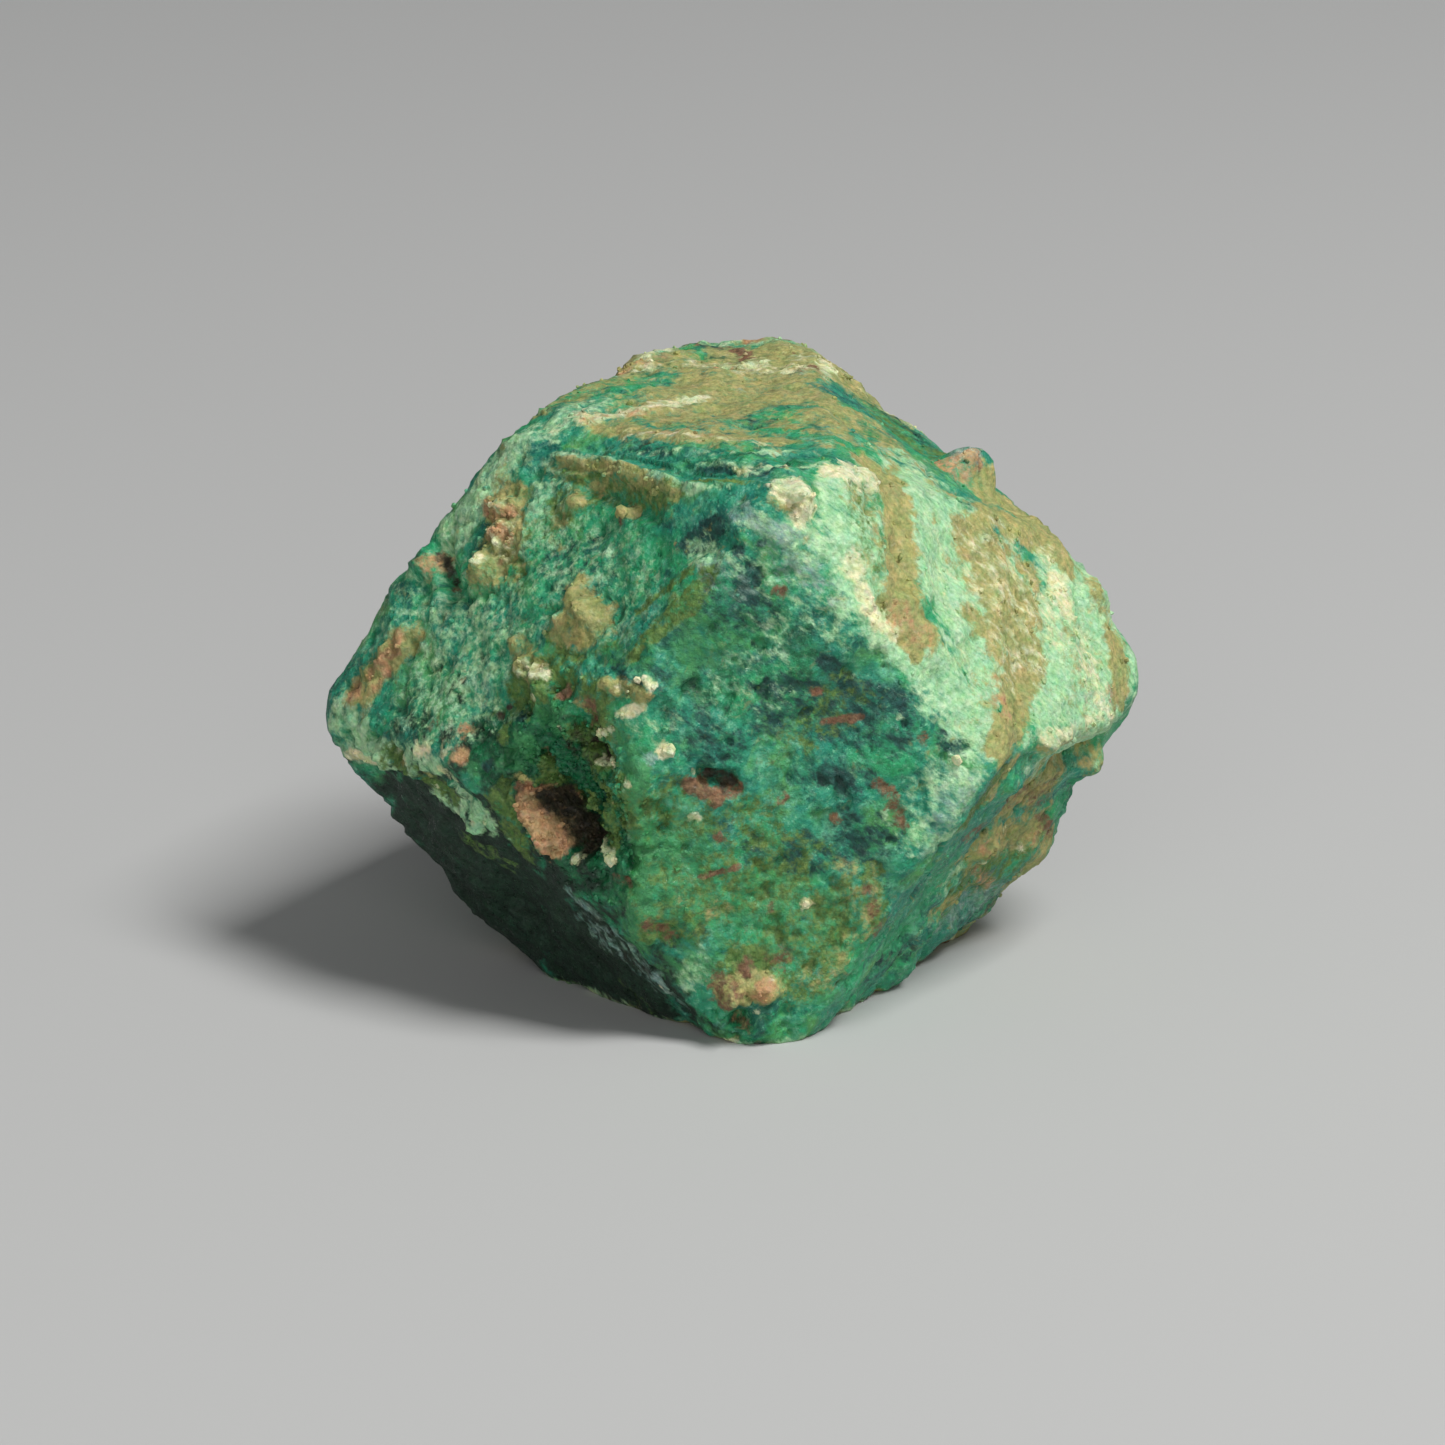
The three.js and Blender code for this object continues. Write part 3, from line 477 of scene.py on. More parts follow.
    ("cream", 0.13, 0.85, [(-3.2, -6.4, 1.1), (-2.8, -6.6, 1.3)]),
    ("mint", 0.13, 0.9, [(-3, -6.5, -0.3), (-3, -6.5, -0.5)]),
    ("mint", 0.27, 0.8, [(-6.2, -3.9, -1.7), (-5.9, -4, -2)]),
    ("cream", 0.09, 0.7, [(-5.9, -3.9, -2)]),
    # umber: painted shade in more small holes of the broken corner
    ("umber_and_painted_shade", 0.18, 1, [(-3.9, -6, 0.2), (-3.7, -6.1, 0)]),
    ("umber_and_painted_shade", 0.11, 0.9, [(-5.5, -4.3, 0.7)]),
    ("deep", 0.22, 0.8, [(-5.2, -4.8, 0.6)]),
    ("umber_and_painted_shade", 0.13, 0.7, [(-5.7, -4.3, 0.5)]),
    ("cream", 0.11, 0.8, [(-4.2, -5.7, -2.4), (-4.1, -5.8, -2.3)]),
    ("cream", 0.11, 0.7, [(-3.7, -6.1, -2), (-3.4, -6.3, -2.3)]),
    ("cream", 0.11, 0.9, [(-2.7, -6.5, 1.9), (-2.6, -6.6, 1.8)]),
    ("cream", 0.09, 0.9, [(-2.5, -6.6, 1.8)]),
    ("cream", 0.09, 0.8, [(-3.2, -6.4, 1.7), (-3.1, -6.5, 1.6)]),
    ("ochre", 0.31, 0.75, [(-3.3, -6.3, 1.7), (-2.8, -6.6, 1.6)]),
    ("cream", 0.13, 0.8, [(-1.7, -6.6, -1.2), (-1.6, -6.6, -1.2)]),
    ("mauve", 0.22, 0.7, [(-2.6, -6.6, 0.2)]),
    ("cream", 0.2, 1, [(-2.3, -6.6, 0.3)]),
    ("deep", 0.22, 0.9, [(-3.3, -6.1, 2.1), (-3.1, -6.4, 1.9)]),
    # upper left face
    ("ochre", 0.53, 0.9, [(-3.8, -4.4, 3), (-3.6, -4.9, 2.8)]),
    ("ochre", 0.45, 0.85, [(-4.2, -4.5, 2.4), (-3.9, -4.9, 2.4)]),
    ("olive", 0.76, 0.5, [(-3.8, -4.7, 2.8)]),
    ("ochre", 0.22, 1, [(-2.8, -3.9, 4.9)]),
    ("rust", 0.16, 0.8, [(-3, -3.9, 4.7)]),
    ("ochre", 0.27, 0.85, [(-3.8, -2.7, 4.8)]),
    ("ochre", 0.27, 0.6, [(-4.2, -2.6, 4.3)]),
    ("ochre", 0.4, 0.75, [(-5.1, -3.8, 1.8), (-4.8, -4.5, 1.5)]),
    ("cream", 0.27, 0.6, [(-5, -4.4, 1.5), (-4.6, -4.8, 1.5)]),
    ("olive", 0.76, 0.7, [(-5.2, -4.4, 1.1), (-4.3, -5, 1.7)]),
    ("olive", 0.45, 0.35, [(-3.6, -5.5, 2.3)]),
    ("olive", 0.2, 0.8, [(-1.2, -6.5, 4.2), (-2.4, -6.3, 3.1), (-3, -6.3, 2.3)]),
    ("olive", 0.18, 0.8, [(-1.5, -6.5, 3.6), (-2.6, -6.4, 2.7)]),
    ("olive", 0.18, 0.7, [(-1.7, -6.2, 4.2), (-2.8, -5.6, 3.2)]),
    ("olive", 0.89, 0.5, [(-3.5, -2.6, 5.3), (-4.2, -2.4, 4.5)]),
    ("ochre", 0.76, 0.8, [(-5.2, -1.1, 4.3), (-5.3, -1.9, 3.4)]),
    ("cream", 0.45, 0.5, [(-5.3, -1.4, 3.9), (-5.3, -1.8, 3.5)]),
    ("olive", 0.67, 0.5, [(-5, -1.3, 4.4), (-5.1, -2.3, 3.3)]),
    ("cream", 0.16, 0.7, [(-5.4, -1.7, 3.5)]),
    ("copper", 0.16, 0.7, [(-5.5, -1.5, 3.6), (-5.4, -1.5, 3.7)]),
    ("copper", 0.13, 0.7, [(-5.4, -2, 3.2)]),
    ("cream", 0.16, 0.7, [(-5.7, -1.7, 3.1)]),
    ("copper", 0.24, 0.8, [(-5.6, -0.8, 4.2), (-5.4, -1.2, 4)]),
    ("copper", 0.18, 0.8, [(-5.1, -1.4, 4.2)]),
    ("copper", 0.18, 0.7, [(-5.3, -1.6, 3.8), (-5.2, -1.8, 3.7)]),
    ("cream", 0.13, 0.6, [(-5.2, -2.1, 3.5)]),
    ("ochre", 0.49, 0.7, [(-5.8, -1.8, 2.9)]),
    ("mint", 0.67, 0.8, [(-4.6, -0.5, 5.7), (-5.5, -0.4, 4.6), (-6.3, -0.4, 3.5)]),
    ("mint", 2.23, 0.5, [(-6.6, -2, 1.5), (-6, -3, 1.4)]),
    ("mint", 1.34, 0.35, [(-7.5, -0.3, 1.9), (-8, 0, 1.4)]),
    ("mint", 0.89, 0.45, [(-6.8, -2.8, 0.4)]),
    ("mint", 0.89, 0.5, [(-4.2, -1.7, 5.2), (-4.6, -2.1, 4.2)]),
    ("deep", 0.89, 0.4, [(-4.2, -3.2, 3.6), (-3.5, -4.2, 3.7)]),
    ("mint", 1.78, 0.38, [(-4.2, -2.9, 4), (-3.2, -5.1, 3.3)]),
    ("mint", 1.34, 0.4, [(-7.3, -2.3, 0.3)]),
    # left edge and tip
    ("copper", 0.36, 0.7, [(-6.8, -0.4, 2.8)]),
    # umber: painted shade in the crack of the left edge
    ("umber_and_painted_shade", 0.13, 0.7, [(-6.7, -0.3, 3), (-6.6, -0.9, 2.6)]),
    ("rust", 0.18, 0.6, [(-6.6, -1, 2.5)]),
    ("mint", 0.49, 0.6, [(-7, -0.6, 2.3)]),
    ("ochre", 0.49, 0.9, [(-7.4, -1.1, 1.3), (-8.1, -0.9, 0.5), (-8.5, -0.8, 0)]),
    ("copper", 0.2, 0.8, [(-7.5, -0.9, 1.3), (-7.7, -1, 1)]),
    ("copper", 0.2, 0.8, [(-7.9, -0.9, 0.8), (-8.2, -0.8, 0.4)]),
    ("copper", 0.16, 0.7, [(-7.9, -1.1, 0.6), (-8.1, -1.1, 0.2)]),
    ("copper", 0.29, 0.9, [(-8.5, -0.7, 0)]),
    ("mint", 0.76, 0.8, [(-8.9, -0.8, -0.6), (-8.6, -1.2, -1)]),
    ("cream", 0.18, 1, [(-8.6, -0.7, -1.4), (-8.3, -1.2, -1.5)]),
    ("mint", 0.36, 0.8, [(-8.6, -1.1, -1.1), (-7.6, -2.6, -0.9), (-7, -3.4, -0.8)]),
    ("cream", 0.16, 0.7, [(-7.8, -2.3, -0.9), (-7.5, -2.7, -0.9)]),
    ("mint", 0.2, 0.7, [(-8.1, -1.7, -1.2), (-7.8, -2, -1.3)]),
    ("cream", 0.16, 0.9, [(-7.3, -3.1, -0.6), (-7.1, -3.3, -0.6)]),
    ("cream", 0.16, 0.9, [(-6.8, -3.6, -0.5)]),
    ("mint", 0.22, 0.7, [(-7.1, -3.3, -0.4)]),
    ("cream", 0.16, 0.7, [(-6.9, -3.6, -0.9), (-6.7, -3.8, -1.1)]),
    ("mint", 0.2, 0.7, [(-6.6, -3.7, -1.3), (-6.3, -3.7, -1.6)]),
    ("olive", 0.27, 0.6, [(-6.9, -3, -1.6), (-6.6, -3.3, -1.7)]),
    ("olive", 0.36, 0.7, [(-7.9, -2.1, -1), (-6.7, -3.3, -1.5)]),
    ("ochre", 0.16, 0.8, [(-7.6, -2.5, -1)]),
    ("ochre", 0.16, 0.8, [(-7.1, -3.1, -1.1)]),
    ("mint", 0.18, 0.9, [(-7.3, -3, -1)]),
    ("cream", 0.11, 0.8, [(-6.9, -3, -1.5)]),
    ("mint", 0.2, 0.9, [(-6.4, -3.5, -1.8)]),
    ("cream", 0.11, 0.8, [(-6.1, -3.7, -2)]),
    ("emerald", 0.27, 0.8, [(-5.6, -4, -2.4), (-5.1, -4.4, -2.6)]),
    ("mint", 0.16, 0.7, [(-5.4, -4.3, -2.4)]),
    ("copper", 0.2, 0.9, [(-6.5, -4.1, -0.5)]),
    ("rust", 0.13, 0.7, [(-6.5, -3.9, -0.4)]),
    ("copper", 0.24, 0.6, [(-6.4, -3.8, 0)]),
    ("rust", 0.22, 0.5, [(-6.9, -3.1, -0.1)]),
    ("mint", 0.31, 0.9, [(-6.2, -3.8, -1.8), (-5.9, -3.9, -2.1)]),
    ("cream", 0.2, 0.8, [(-6.7, -3.8, -0.5)]),
    ("mint", 0.4, 0.7, [(-6.8, -2.9, -1.8), (-6.2, -3.4, -2.1)]),
    ("olive", 0.4, 0.7, [(-5.6, -4.7, -1.3), (-5.2, -4.3, -2.6)]),
    # the lower left face, with painted shade: a dark green laid on it for the shade it lies in, and patches
    # over that
    ("shade", 4.45, 1, [(-5.9, -2.1, -3.9)]),
    ("shade", 3.79, 1, [(-3.6, -3.8, -5.4)]),
    ("emerald", 0.45, 0.6, [(-5.3, -3.6, -3.2), (-4.4, -4, -4.1)]),
    ("olive", 0.4, 0.5, [(-6.2, -2.7, -2.9), (-5.5, -3.3, -3.2)]),
    ("emerald", 0.45, 0.3, [(-3.6, -5.1, -4.1), (-2.8, -5.6, -4.8)]),
    ("olive", 0.89, 0.2, [(-2.6, -4.3, -6.2)]),
    ("mauve", 0.22, 0.6, [(-4.2, -5.1, -3.4), (-3.1, -5.6, -4.3), (-2, -5.8, -5.7)]),
    ("mauve", 0.45, 0.4, [(-3.8, -4.8, -4.2), (-2.9, -5.3, -4.9), (-2.3, -5.5, -5.5)]),
    # umber: a little painted shade beside the streak
    ("umber_and_painted_shade", 0.4, 0.3, [(-3.6, -4.8, -4.5), (-2.7, -5.4, -5.1)]),
    ("cream", 0.11, 0.8, [(-2.3, -5.7, -5.4)]),
]

# Each pigment's light and dark shade, how closely it is grained, how ragged its patches are, its roughness.
PIGMENTS = {
    "emerald": ((0.01, 0.17, 0.06), (0.003, 0.07, 0.028), 2.8, 1.8, 0.45),
    "deep": ((0.012, 0.1, 0.075), (0.005, 0.04, 0.032), 3.2, 2.2, 0.6),
    # painted shade: a dark bottle green, darker than the crystal's own green, laid where it lies in shade:
    # the lower left face and the trench of the broken corner
    "shade": ((0.013, 0.045, 0.023), (0.005, 0.02, 0.01), 1.6, 1.6, 0.6),
    "mint": ((0.47, 0.74, 0.43), (0.26, 0.52, 0.26), 3.6, 2.4, 0.6),
    "leaf": ((0.06, 0.3, 0.1), (0.03, 0.2, 0.07), 3.4, 2.0, 0.55),
    "olive": ((0.15, 0.26, 0.06), (0.06, 0.14, 0.03), 3.8, 2.6, 0.7),
    "mauve": ((0.32, 0.5, 0.4), (0.12, 0.24, 0.2), 3.4, 2.2, 0.6),
    "ochre": ((0.44, 0.42, 0.16), (0.25, 0.27, 0.09), 3.4, 2.3, 0.85),
    "cream": ((0.78, 0.8, 0.52), (0.56, 0.6, 0.3), 3.4, 2.2, 0.8),
    "rust": ((0.26, 0.15, 0.075), (0.13, 0.07, 0.035), 4.6, 2.2, 0.75),
    "copper": ((0.58, 0.36, 0.18), (0.38, 0.22, 0.1), 4.0, 1.8, 0.8),
    # a dark brown laid in pits, cracks, holes and recesses: partly the brown filling they have, partly
    # painted shade that makes them darker than their own colour
    "umber_and_painted_shade": ((0.05, 0.04, 0.02), (0.015, 0.013, 0.007), 3.6, 1.6, 0.7),
}

# The pigments that lie in short streaks.
STREAKED = ("deep", "mint", "leaf", "mauve", "cream")


def units(vectors):
    return vectors / np.linalg.norm(vectors, axis=-1, keepdims=True)


def worn_edges():
    """The worn edge between each two neighbouring rhombs, as a narrow face of its own."""
    found = []
    for i, (a, near) in enumerate(RHOMBS):
        for b, far in RHOMBS[i + 1 :]:
            a_unit, b_unit = units(np.array(a, float)), units(np.array(b, float))
            if a_unit @ b_unit > NEIGHBOURS:
                between = a_unit + b_unit
                found.append((tuple(between), (near + far) / np.linalg.norm(between) - EDGE_WEAR))
    return found


FACES = RHOMBS + worn_edges() + CUTS
NORMALS = units(np.array([direction for direction, _ in FACES], float))
DISTANCES = np.array([distance for _, distance in FACES])


def smooth(low, high, values):
    """0 up to low, 1 from high on, and a soft rise between them."""
    share = np.clip((values - low) / (high - low), 0, 1)
    return share * share * (3 - 2 * share)


def to_surface(points):
    """Moves points onto the worn faces, along their line from the middle."""
    directions = units(points)
    reach = np.maximum(0, directions @ NORMALS.T) / DISTANCES
    top = reach.max(axis=1)
    size = top * ((reach / top[:, None]) ** SHARPNESS).sum(axis=1) ** (1 / SHARPNESS)
    return directions / size[:, None]


def outward(points):
    """The outward direction of the worn surface at its points."""
    reach = np.maximum(0, points @ NORMALS.T) / DISTANCES
    weight = (reach / reach.max(axis=1, keepdims=True)) ** (SHARPNESS - 1) / DISTANCES
    return units(weight @ NORMALS)


def distance_to(points, places):
    """How far each point is from the line that runs through places of the surface."""
    line = to_surface(np.array(places, float))
    nearest = np.linalg.norm(points - line[0], axis=1)
    for start, end in zip(line, line[1:]):
        along = np.clip((points - start) @ (end - start) / ((end - start) @ (end - start)), 0, 1)
        nearest = np.minimum(nearest, np.linalg.norm(points - start - along[:, None] * (end - start), axis=1))
    return nearest


def waves(points, closeness, octaves, start):
    """Cloudy unevenness at each point, mostly between -1 and 1."""
    shift = Vector((start, 2.3 * start, -1.7 * start))
    return np.array([noise.fractal(Vector(p) * closeness + shift, 0.9, 2.1, octaves) for p in points])


def facets(points, closeness, start):
    """Small flat crystal faces side by side, each leaning its own way, about -0.5 to 0.5."""
    shift = Vector((start, 1.9 * start, -0.7 * start))
    heights = []
    for point in points:
        place = Vector(point) * closeness + shift
        middle = noise.voronoi(place)[1][0]
        lean = noise.cell_vector(middle * 31.7) * 2 - Vector((1, 1, 1))
        heights.append(0.7 * (place - middle).dot(lean) + 0.5 * lean.x)
    return np.array(heights)


def cells(points, closeness, start):
    """Rounded grains packed side by side: 1 in the middle of a grain, falling to its rim."""
    shift = Vector((start, -1.3 * start, 0.7 * start))
    return 1 - np.array([noise.voronoi(Vector(p) * closeness + shift)[0][0] for p in points])


def edge_closeness(points):
    """1 on the edges between the large faces, 0 a millimetre away from them."""
    large = [i for i, (direction, _) in enumerate(FACES) if i < len(RHOMBS) or i >= len(FACES) - len(CUTS)]
    reach = np.sort(points @ NORMALS[large].T / DISTANCES[large], axis=1)
    return smooth(0.9, 0.995, reach[:, -2] / reach[:, -1])


# How the pigments lie on the back and the underside: strength, where the cloud fades in and is full, how
# closely it lies, its start, and how much more there is on the edges.
WEATHERING = {
    "ochre": (0.95, -0.1, 0.45, 0.33, 9.1, 0.25),
    "mint": (0.75, 0.0, 0.5, 0.42, 17.3, 0.6),
    "emerald": (0.8, 0.0, 0.5, 0.4, 23.9, 0.0),
    "olive": (0.7, 0.05, 0.5, 0.5, 31.1, 0.0),
    "deep": (0.7, 0.1, 0.55, 0.6, 37.7, 0.0),
    "cream": (0.7, 0.25, 0.6, 1.1, 41.3, 0.3),
    "rust": (0.9, 0.38, 0.6, 1.3, 53.9, 0.0),
    "copper": (0.8, 0.42, 0.62, 1.0, 61.7, 0.0),
}


def pigments_at(points):
    """How much of each pigment lies at each point, from 0 to 1."""
    ripple = 1 + 0.45 * waves(points, 1.7, 3, 4.2) + 0.25 * waves(points, 4.5, 2, 8.8)
    amounts = {name: np.zeros(len(points)) for name in [*PIGMENTS, "green"]}
    for name, radius, strength, places in PATCHES:
        share = distance_to(points, places) * ripple / radius
        amounts[name] = np.maximum(amounts[name], strength * (1 - smooth(0.35, 1.25, share)))
    # green ground shows through the ochre of the top
    amounts["ochre"] *= 1 - amounts["green"]
    amounts["mint"] *= 1 - 0.6 * amounts["green"]
    del amounts["green"]
    # the back and the underside are weathered in the same way, with pale edges
    back = smooth(0.5, 2.0, points[:, 1] - 0.25 * points[:, 2])
    unseen = np.maximum(back, smooth(-6.2, -6.6, points[:, 2]))
    edges = edge_closeness(points)
    for name, (strength, low, high, closeness, start, on_edges) in WEATHERING.items():
        amount = strength * smooth(low, high, waves(points, closeness, 3, start)) + on_edges * edges
        amounts[name] = np.maximum(amounts[name], unseen * np.clip(amount, 0, 1))
    return amounts


# The broken corner, the edge with the ledges under the top, and the steep wall below that edge.
BROKEN = [(-4.5, -5.5, -0.2), (-3.8, -6.0, -1.6)]
STEPPED = [(-4.2, -1.6, 5.5), (-1.6, -4.3, 5.8), (0.3, -6.0, 6.0)]
UNDERCUT = [(-3.9, -2.0, 5.3), (-2.3, -4.0, 5.3), (-1.2, -5.0, 5.6)]

# Where small rounded grains are packed side by side: how far that reaches, and the line it runs along.
GRANULAR = [
    (1.1, [(-5.5, -1.2, 3.9), (-5.3, -1.9, 3.5), (-5.7, -1.9, 2.9)]),
    (0.7, [(-0.4, -6.6, -5.5)]),
    (0.8, [(-8.8, -0.9, -0.8), (-7.6, -2.6, -0.9), (-6.4, -3.9, -1.7), (-5.6, -4.5, -2.4)]),
    (0.6, [(0.4, -6.3, 5.7)]),
    (0.6, [(-3.7, -4.7, 2.9)]),
    (0.6, [(-3.2, -6.4, 1.7)]),
    (0.6, [(-4.9, -4.5, 1.5)]),
    (0.8, [(-7.6, -1.2, 1.2), (-8.1, -1.0, 0.5)]),
    (1.8, [(6.5, -2.2, -2.3), (5.4, -3.1, -3.1)]),
    (0.9, [(2.0, -4.3, 5.9), (3.2, -5.9, 2.7)]),
]


# The fine relief of the crust, in millimetres. Clouds: height, how closely they lie, octaves, start.
CLOUDS = [(0.06, 1.2, 4, 1.5), (0.035, 3.7, 3, 2.5)]

# Small crystal faces: height, how closely they lie, start.
CRYSTAL_FACES = [(0.07, 2.1, 3.5), (0.04, 4.6, 5.5)]

# Packed grains, written in the same way, and how deep their foot lies.
PACKED_GRAINS = [(0.2, 2.6, 3.3), (0.16, 4.6, 6.3)]
PACKED_FOOT = 0.2

# How deep the scattered small pits are.
PIT_DEPTH = 0.16

# The thin ledges: the direction that they step down in, their width and their height.
LEDGE_FALL = (-0.5, -0.35, -0.75)
LEDGE_WIDTH = 0.28
LEDGE_RISE = 0.13


def relief_at(points, amounts):
    """How far each point is raised, and how much of that is the fine unevenness of the crust."""
    height = np.zeros(len(points))
    for direction, rise, start in SWELLS:
        height += rise * np.sin(points @ np.array(direction) + start)
    craggy = 1 + 0.35 * waves(points, 1.5, 3, 12.4) + 0.2 * waves(points, 3.9, 2, 14.4)
    gentle = 1 + 0.25 * waves(points, 0.9, 2, 12.4)
    lumps = np.zeros(len(points))
    for width, rise, places in SPOTS + DETAILS:
        # the thin ledges run on more evenly than the lumps and hollows
        thin = width < 0.45 and abs(rise) < 0.21
        share = np.minimum(1, distance_to(points, places) * (gentle if thin else craggy) / width)
        spot = (1 - share**2) ** 2
        height += rise * spot
        if width < 0.9 and (rise > 0.17 or rise < -0.24):
            lumps = np.maximum(lumps, spot)
    broken = 1 - smooth(0.8, 2.2, distance_to(points, BROKEN))
    strength = 0.6 + 0.15 * amounts["ochre"] + 0.15 * amounts["cream"] + 0.8 * broken + 0.7 * lumps
    # the right-hand side is smoother
    strength *= 1 - 0.4 * smooth(2.5, 6.0, points[:, 0] + 0.5 * points[:, 2])
    fine = sum(rise * waves(points, closeness, octaves, start) for rise, closeness, octaves, start in CLOUDS)
    fine += sum(rise * facets(points, closeness, start) for rise, closeness, start in CRYSTAL_FACES)
    fine -= PIT_DEPTH * (1 - 0.8 * lumps) * smooth(0.32, 0.6, waves(points, 2.1, 2, 7.5))
    # it is calm on the steep wall under the ledges, where it would be drawn out
    fine *= 0.2 + 0.8 * smooth(0.45, 1.0, distance_to(points, UNDERCUT))
    granular = np.zeros(len(points))
    for reach, places in GRANULAR:
        granular = np.maximum(granular, 1 - smooth(0.4, 1.1, distance_to(points, places) / reach))
    packed = sum(rise * cells(points, closeness, start) for rise, closeness, start in PACKED_GRAINS)
    fine += granular * (packed - PACKED_FOOT)
    # thin ledges run along the edge between the top and the upper left face
    ledges = 1 - smooth(0.4, 0.9, distance_to(points, STEPPED))
    across = points @ np.array(LEDGE_FALL) / LEDGE_WIDTH + 0.8 * waves(points, 0.5, 1, 6.5)
    step = across - np.floor(across)
    # a third is the mean of the square, so the ledges leave the mean height as it is
    fine += LEDGE_RISE * ledges * (step**2 - 0.33)
    return height + strength * fine, strength * fine


def crystal_block():
    """The sharp crystal: a block cut along each face in turn, then covered with an even net."""
    bpy.ops.object.select_all(action="DESELECT")
    bpy.ops.mesh.primitive_cube_add(size=BLOCK, location=(0, 0, 0))
    crystal = bpy.context.object
    crystal.name = "malachite_crust"
    bpy.ops.object.mode_set(mode="EDIT")
    for normal, distance in zip(NORMALS, DISTANCES):
        bpy.ops.mesh.select_all(action="SELECT")
        bpy.ops.mesh.bisect(
            plane_co=normal * distance, plane_no=normal, use_fill=True, clear_outer=True, threshold=1e-5
        )
    bpy.ops.object.mode_set(mode="OBJECT")
    remesh = crystal.modifiers.new("even net", "REMESH")
    remesh.mode = "VOXEL"
    remesh.voxel_size = NET
    bpy.ops.object.modifier_apply(modifier=remesh.name)
    return crystal


def subdivide_near(crystal, wanted):
    """Halves the faces whose middles are wanted."""
    mesh = crystal.data
    centres = np.empty(3 * len(mesh.polygons))
    mesh.polygons.foreach_get("center", centres)
    picked = wanted(centres.reshape(-1, 3))
    for domain in (mesh.vertices, mesh.edges, mesh.polygons):
        domain.foreach_set("select", np.zeros(len(domain), bool))
    mesh.polygons.foreach_set("select", picked)
    bpy.ops.object.mode_set(mode="EDIT")
    bpy.ops.mesh.select_mode(type="FACE")
    bpy.ops.mesh.subdivide(number_cuts=1, smoothness=0)
    bpy.ops.object.mode_set(mode="OBJECT")


def write_amounts(mesh, amounts, fine):
    """Keeps the pigments and the fine relief as values on the vertices, for the material."""
    for name, values in {**amounts, "relief": fine}.items():
        mesh.attributes.new(name, "FLOAT", "POINT").data.foreach_set("value", values.astype(np.float32))


def vertices_of(mesh):
    flat = np.empty(3 * len(mesh.vertices))
    mesh.vertices.foreach_get("co", flat)
    return flat.reshape(-1, 3)


# Width of the block that the crystal is cut from, and of the even net's faces, in millimetres.
BLOCK = 24
NET = 0.13

# The front face lies in front of this. The broken corner and its hollow are round these places, this far.
FRONT = -6.3
CORNER, CORNER_REACH = (-4.2, -5.7, -0.6), 2.7
HOLLOW, HOLLOW_REACH = (-4.2, -5.8, -0.9), 1.5

# Where else the net is finer: the left cluster, the left rim and the undercut. A line, and how far round it.
FINER = [
    ([(-5.5, -1.2, 3.9), (-5.7, -1.9, 2.9)], 1.0),
    ([(-8.6, -1.1, -0.8), (-6.0, -4.2, -2.0)], 0.5),
    (UNDERCUT, 0.75),
]

# How much more of a pigment lies on the high places, or less. Pale fibres stand there, dark and rusty stuff
# lies low.
LEANINGS = {"mint": 2.2, "cream": 1.8, "deep": -2.0, "olive": -1.2, "rust": -1.5, "emerald": -1.5}


def within(points, middle, reach):
    return np.linalg.norm(points - middle, axis=1) < reach


def at_front(points):
    """The sharp front face and the broken corner."""
    return (points[:, 1] < FRONT) | within(points, CORNER, CORNER_REACH)


def build_crystal():
    """The crust: the crystal with its worn edges, relief and pigments."""
    crystal = crystal_block()
    subdivide_near(crystal, at_front)
    subdivide_near(crystal, lambda centres: within(centres, HOLLOW, HOLLOW_REACH))
    for line, reach in FINER:
        subdivide_near(crystal, lambda centres: distance_to(centres, line) < reach)
    mesh = crystal.data
    worn = to_surface(vertices_of(mesh))
    amounts = pigments_at(worn)
    height, fine = relief_at(worn, amounts)
    for name, leaning in LEANINGS.items():
        amounts[name] = np.clip(amounts[name] + leaning * fine * smooth(0.05, 0.4, amounts[name]), 0, 1.3)
    placed = worn + outward(worn) * height[:, None] + MIDDLE
    # the foot is worn flat, so that the crystal stands
    placed[:, 2] = np.maximum(0, placed[:, 2])
    mesh.vertices.foreach_set("co", (placed * MM).ravel())
    mesh.update()
    bpy.ops.object.select_all(action="DESELECT")
    crystal.select_set(True)
    bpy.context.view_layer.objects.active = crystal
    bpy.ops.object.shade_smooth()
    write_amounts(mesh, amounts, fine)
    return crystal, worn, amounts


def one_grain():
    """A small angular grain: a ball of twenty faces, knocked out of true."""
    bpy.ops.object.select_all(action="DESELECT")
    bpy.ops.mesh.primitive_ico_sphere_add(subdivisions=1, radius=1)
    grain = bpy.context.object
    bpy.ops.object.mode_set(mode="EDIT")
    bpy.ops.mesh.select_all(action="SELECT")
    bpy.ops.transform.vertex_random(offset=0.22, uniform=0.6, seed=5)
    bpy.ops.object.mode_set(mode="OBJECT")
    corners = vertices_of(grain.data)
    triangles = np.array([tuple(face.vertices) for face in grain.data.polygons])
    bpy.data.objects.remove(grain)
    return corners, triangles


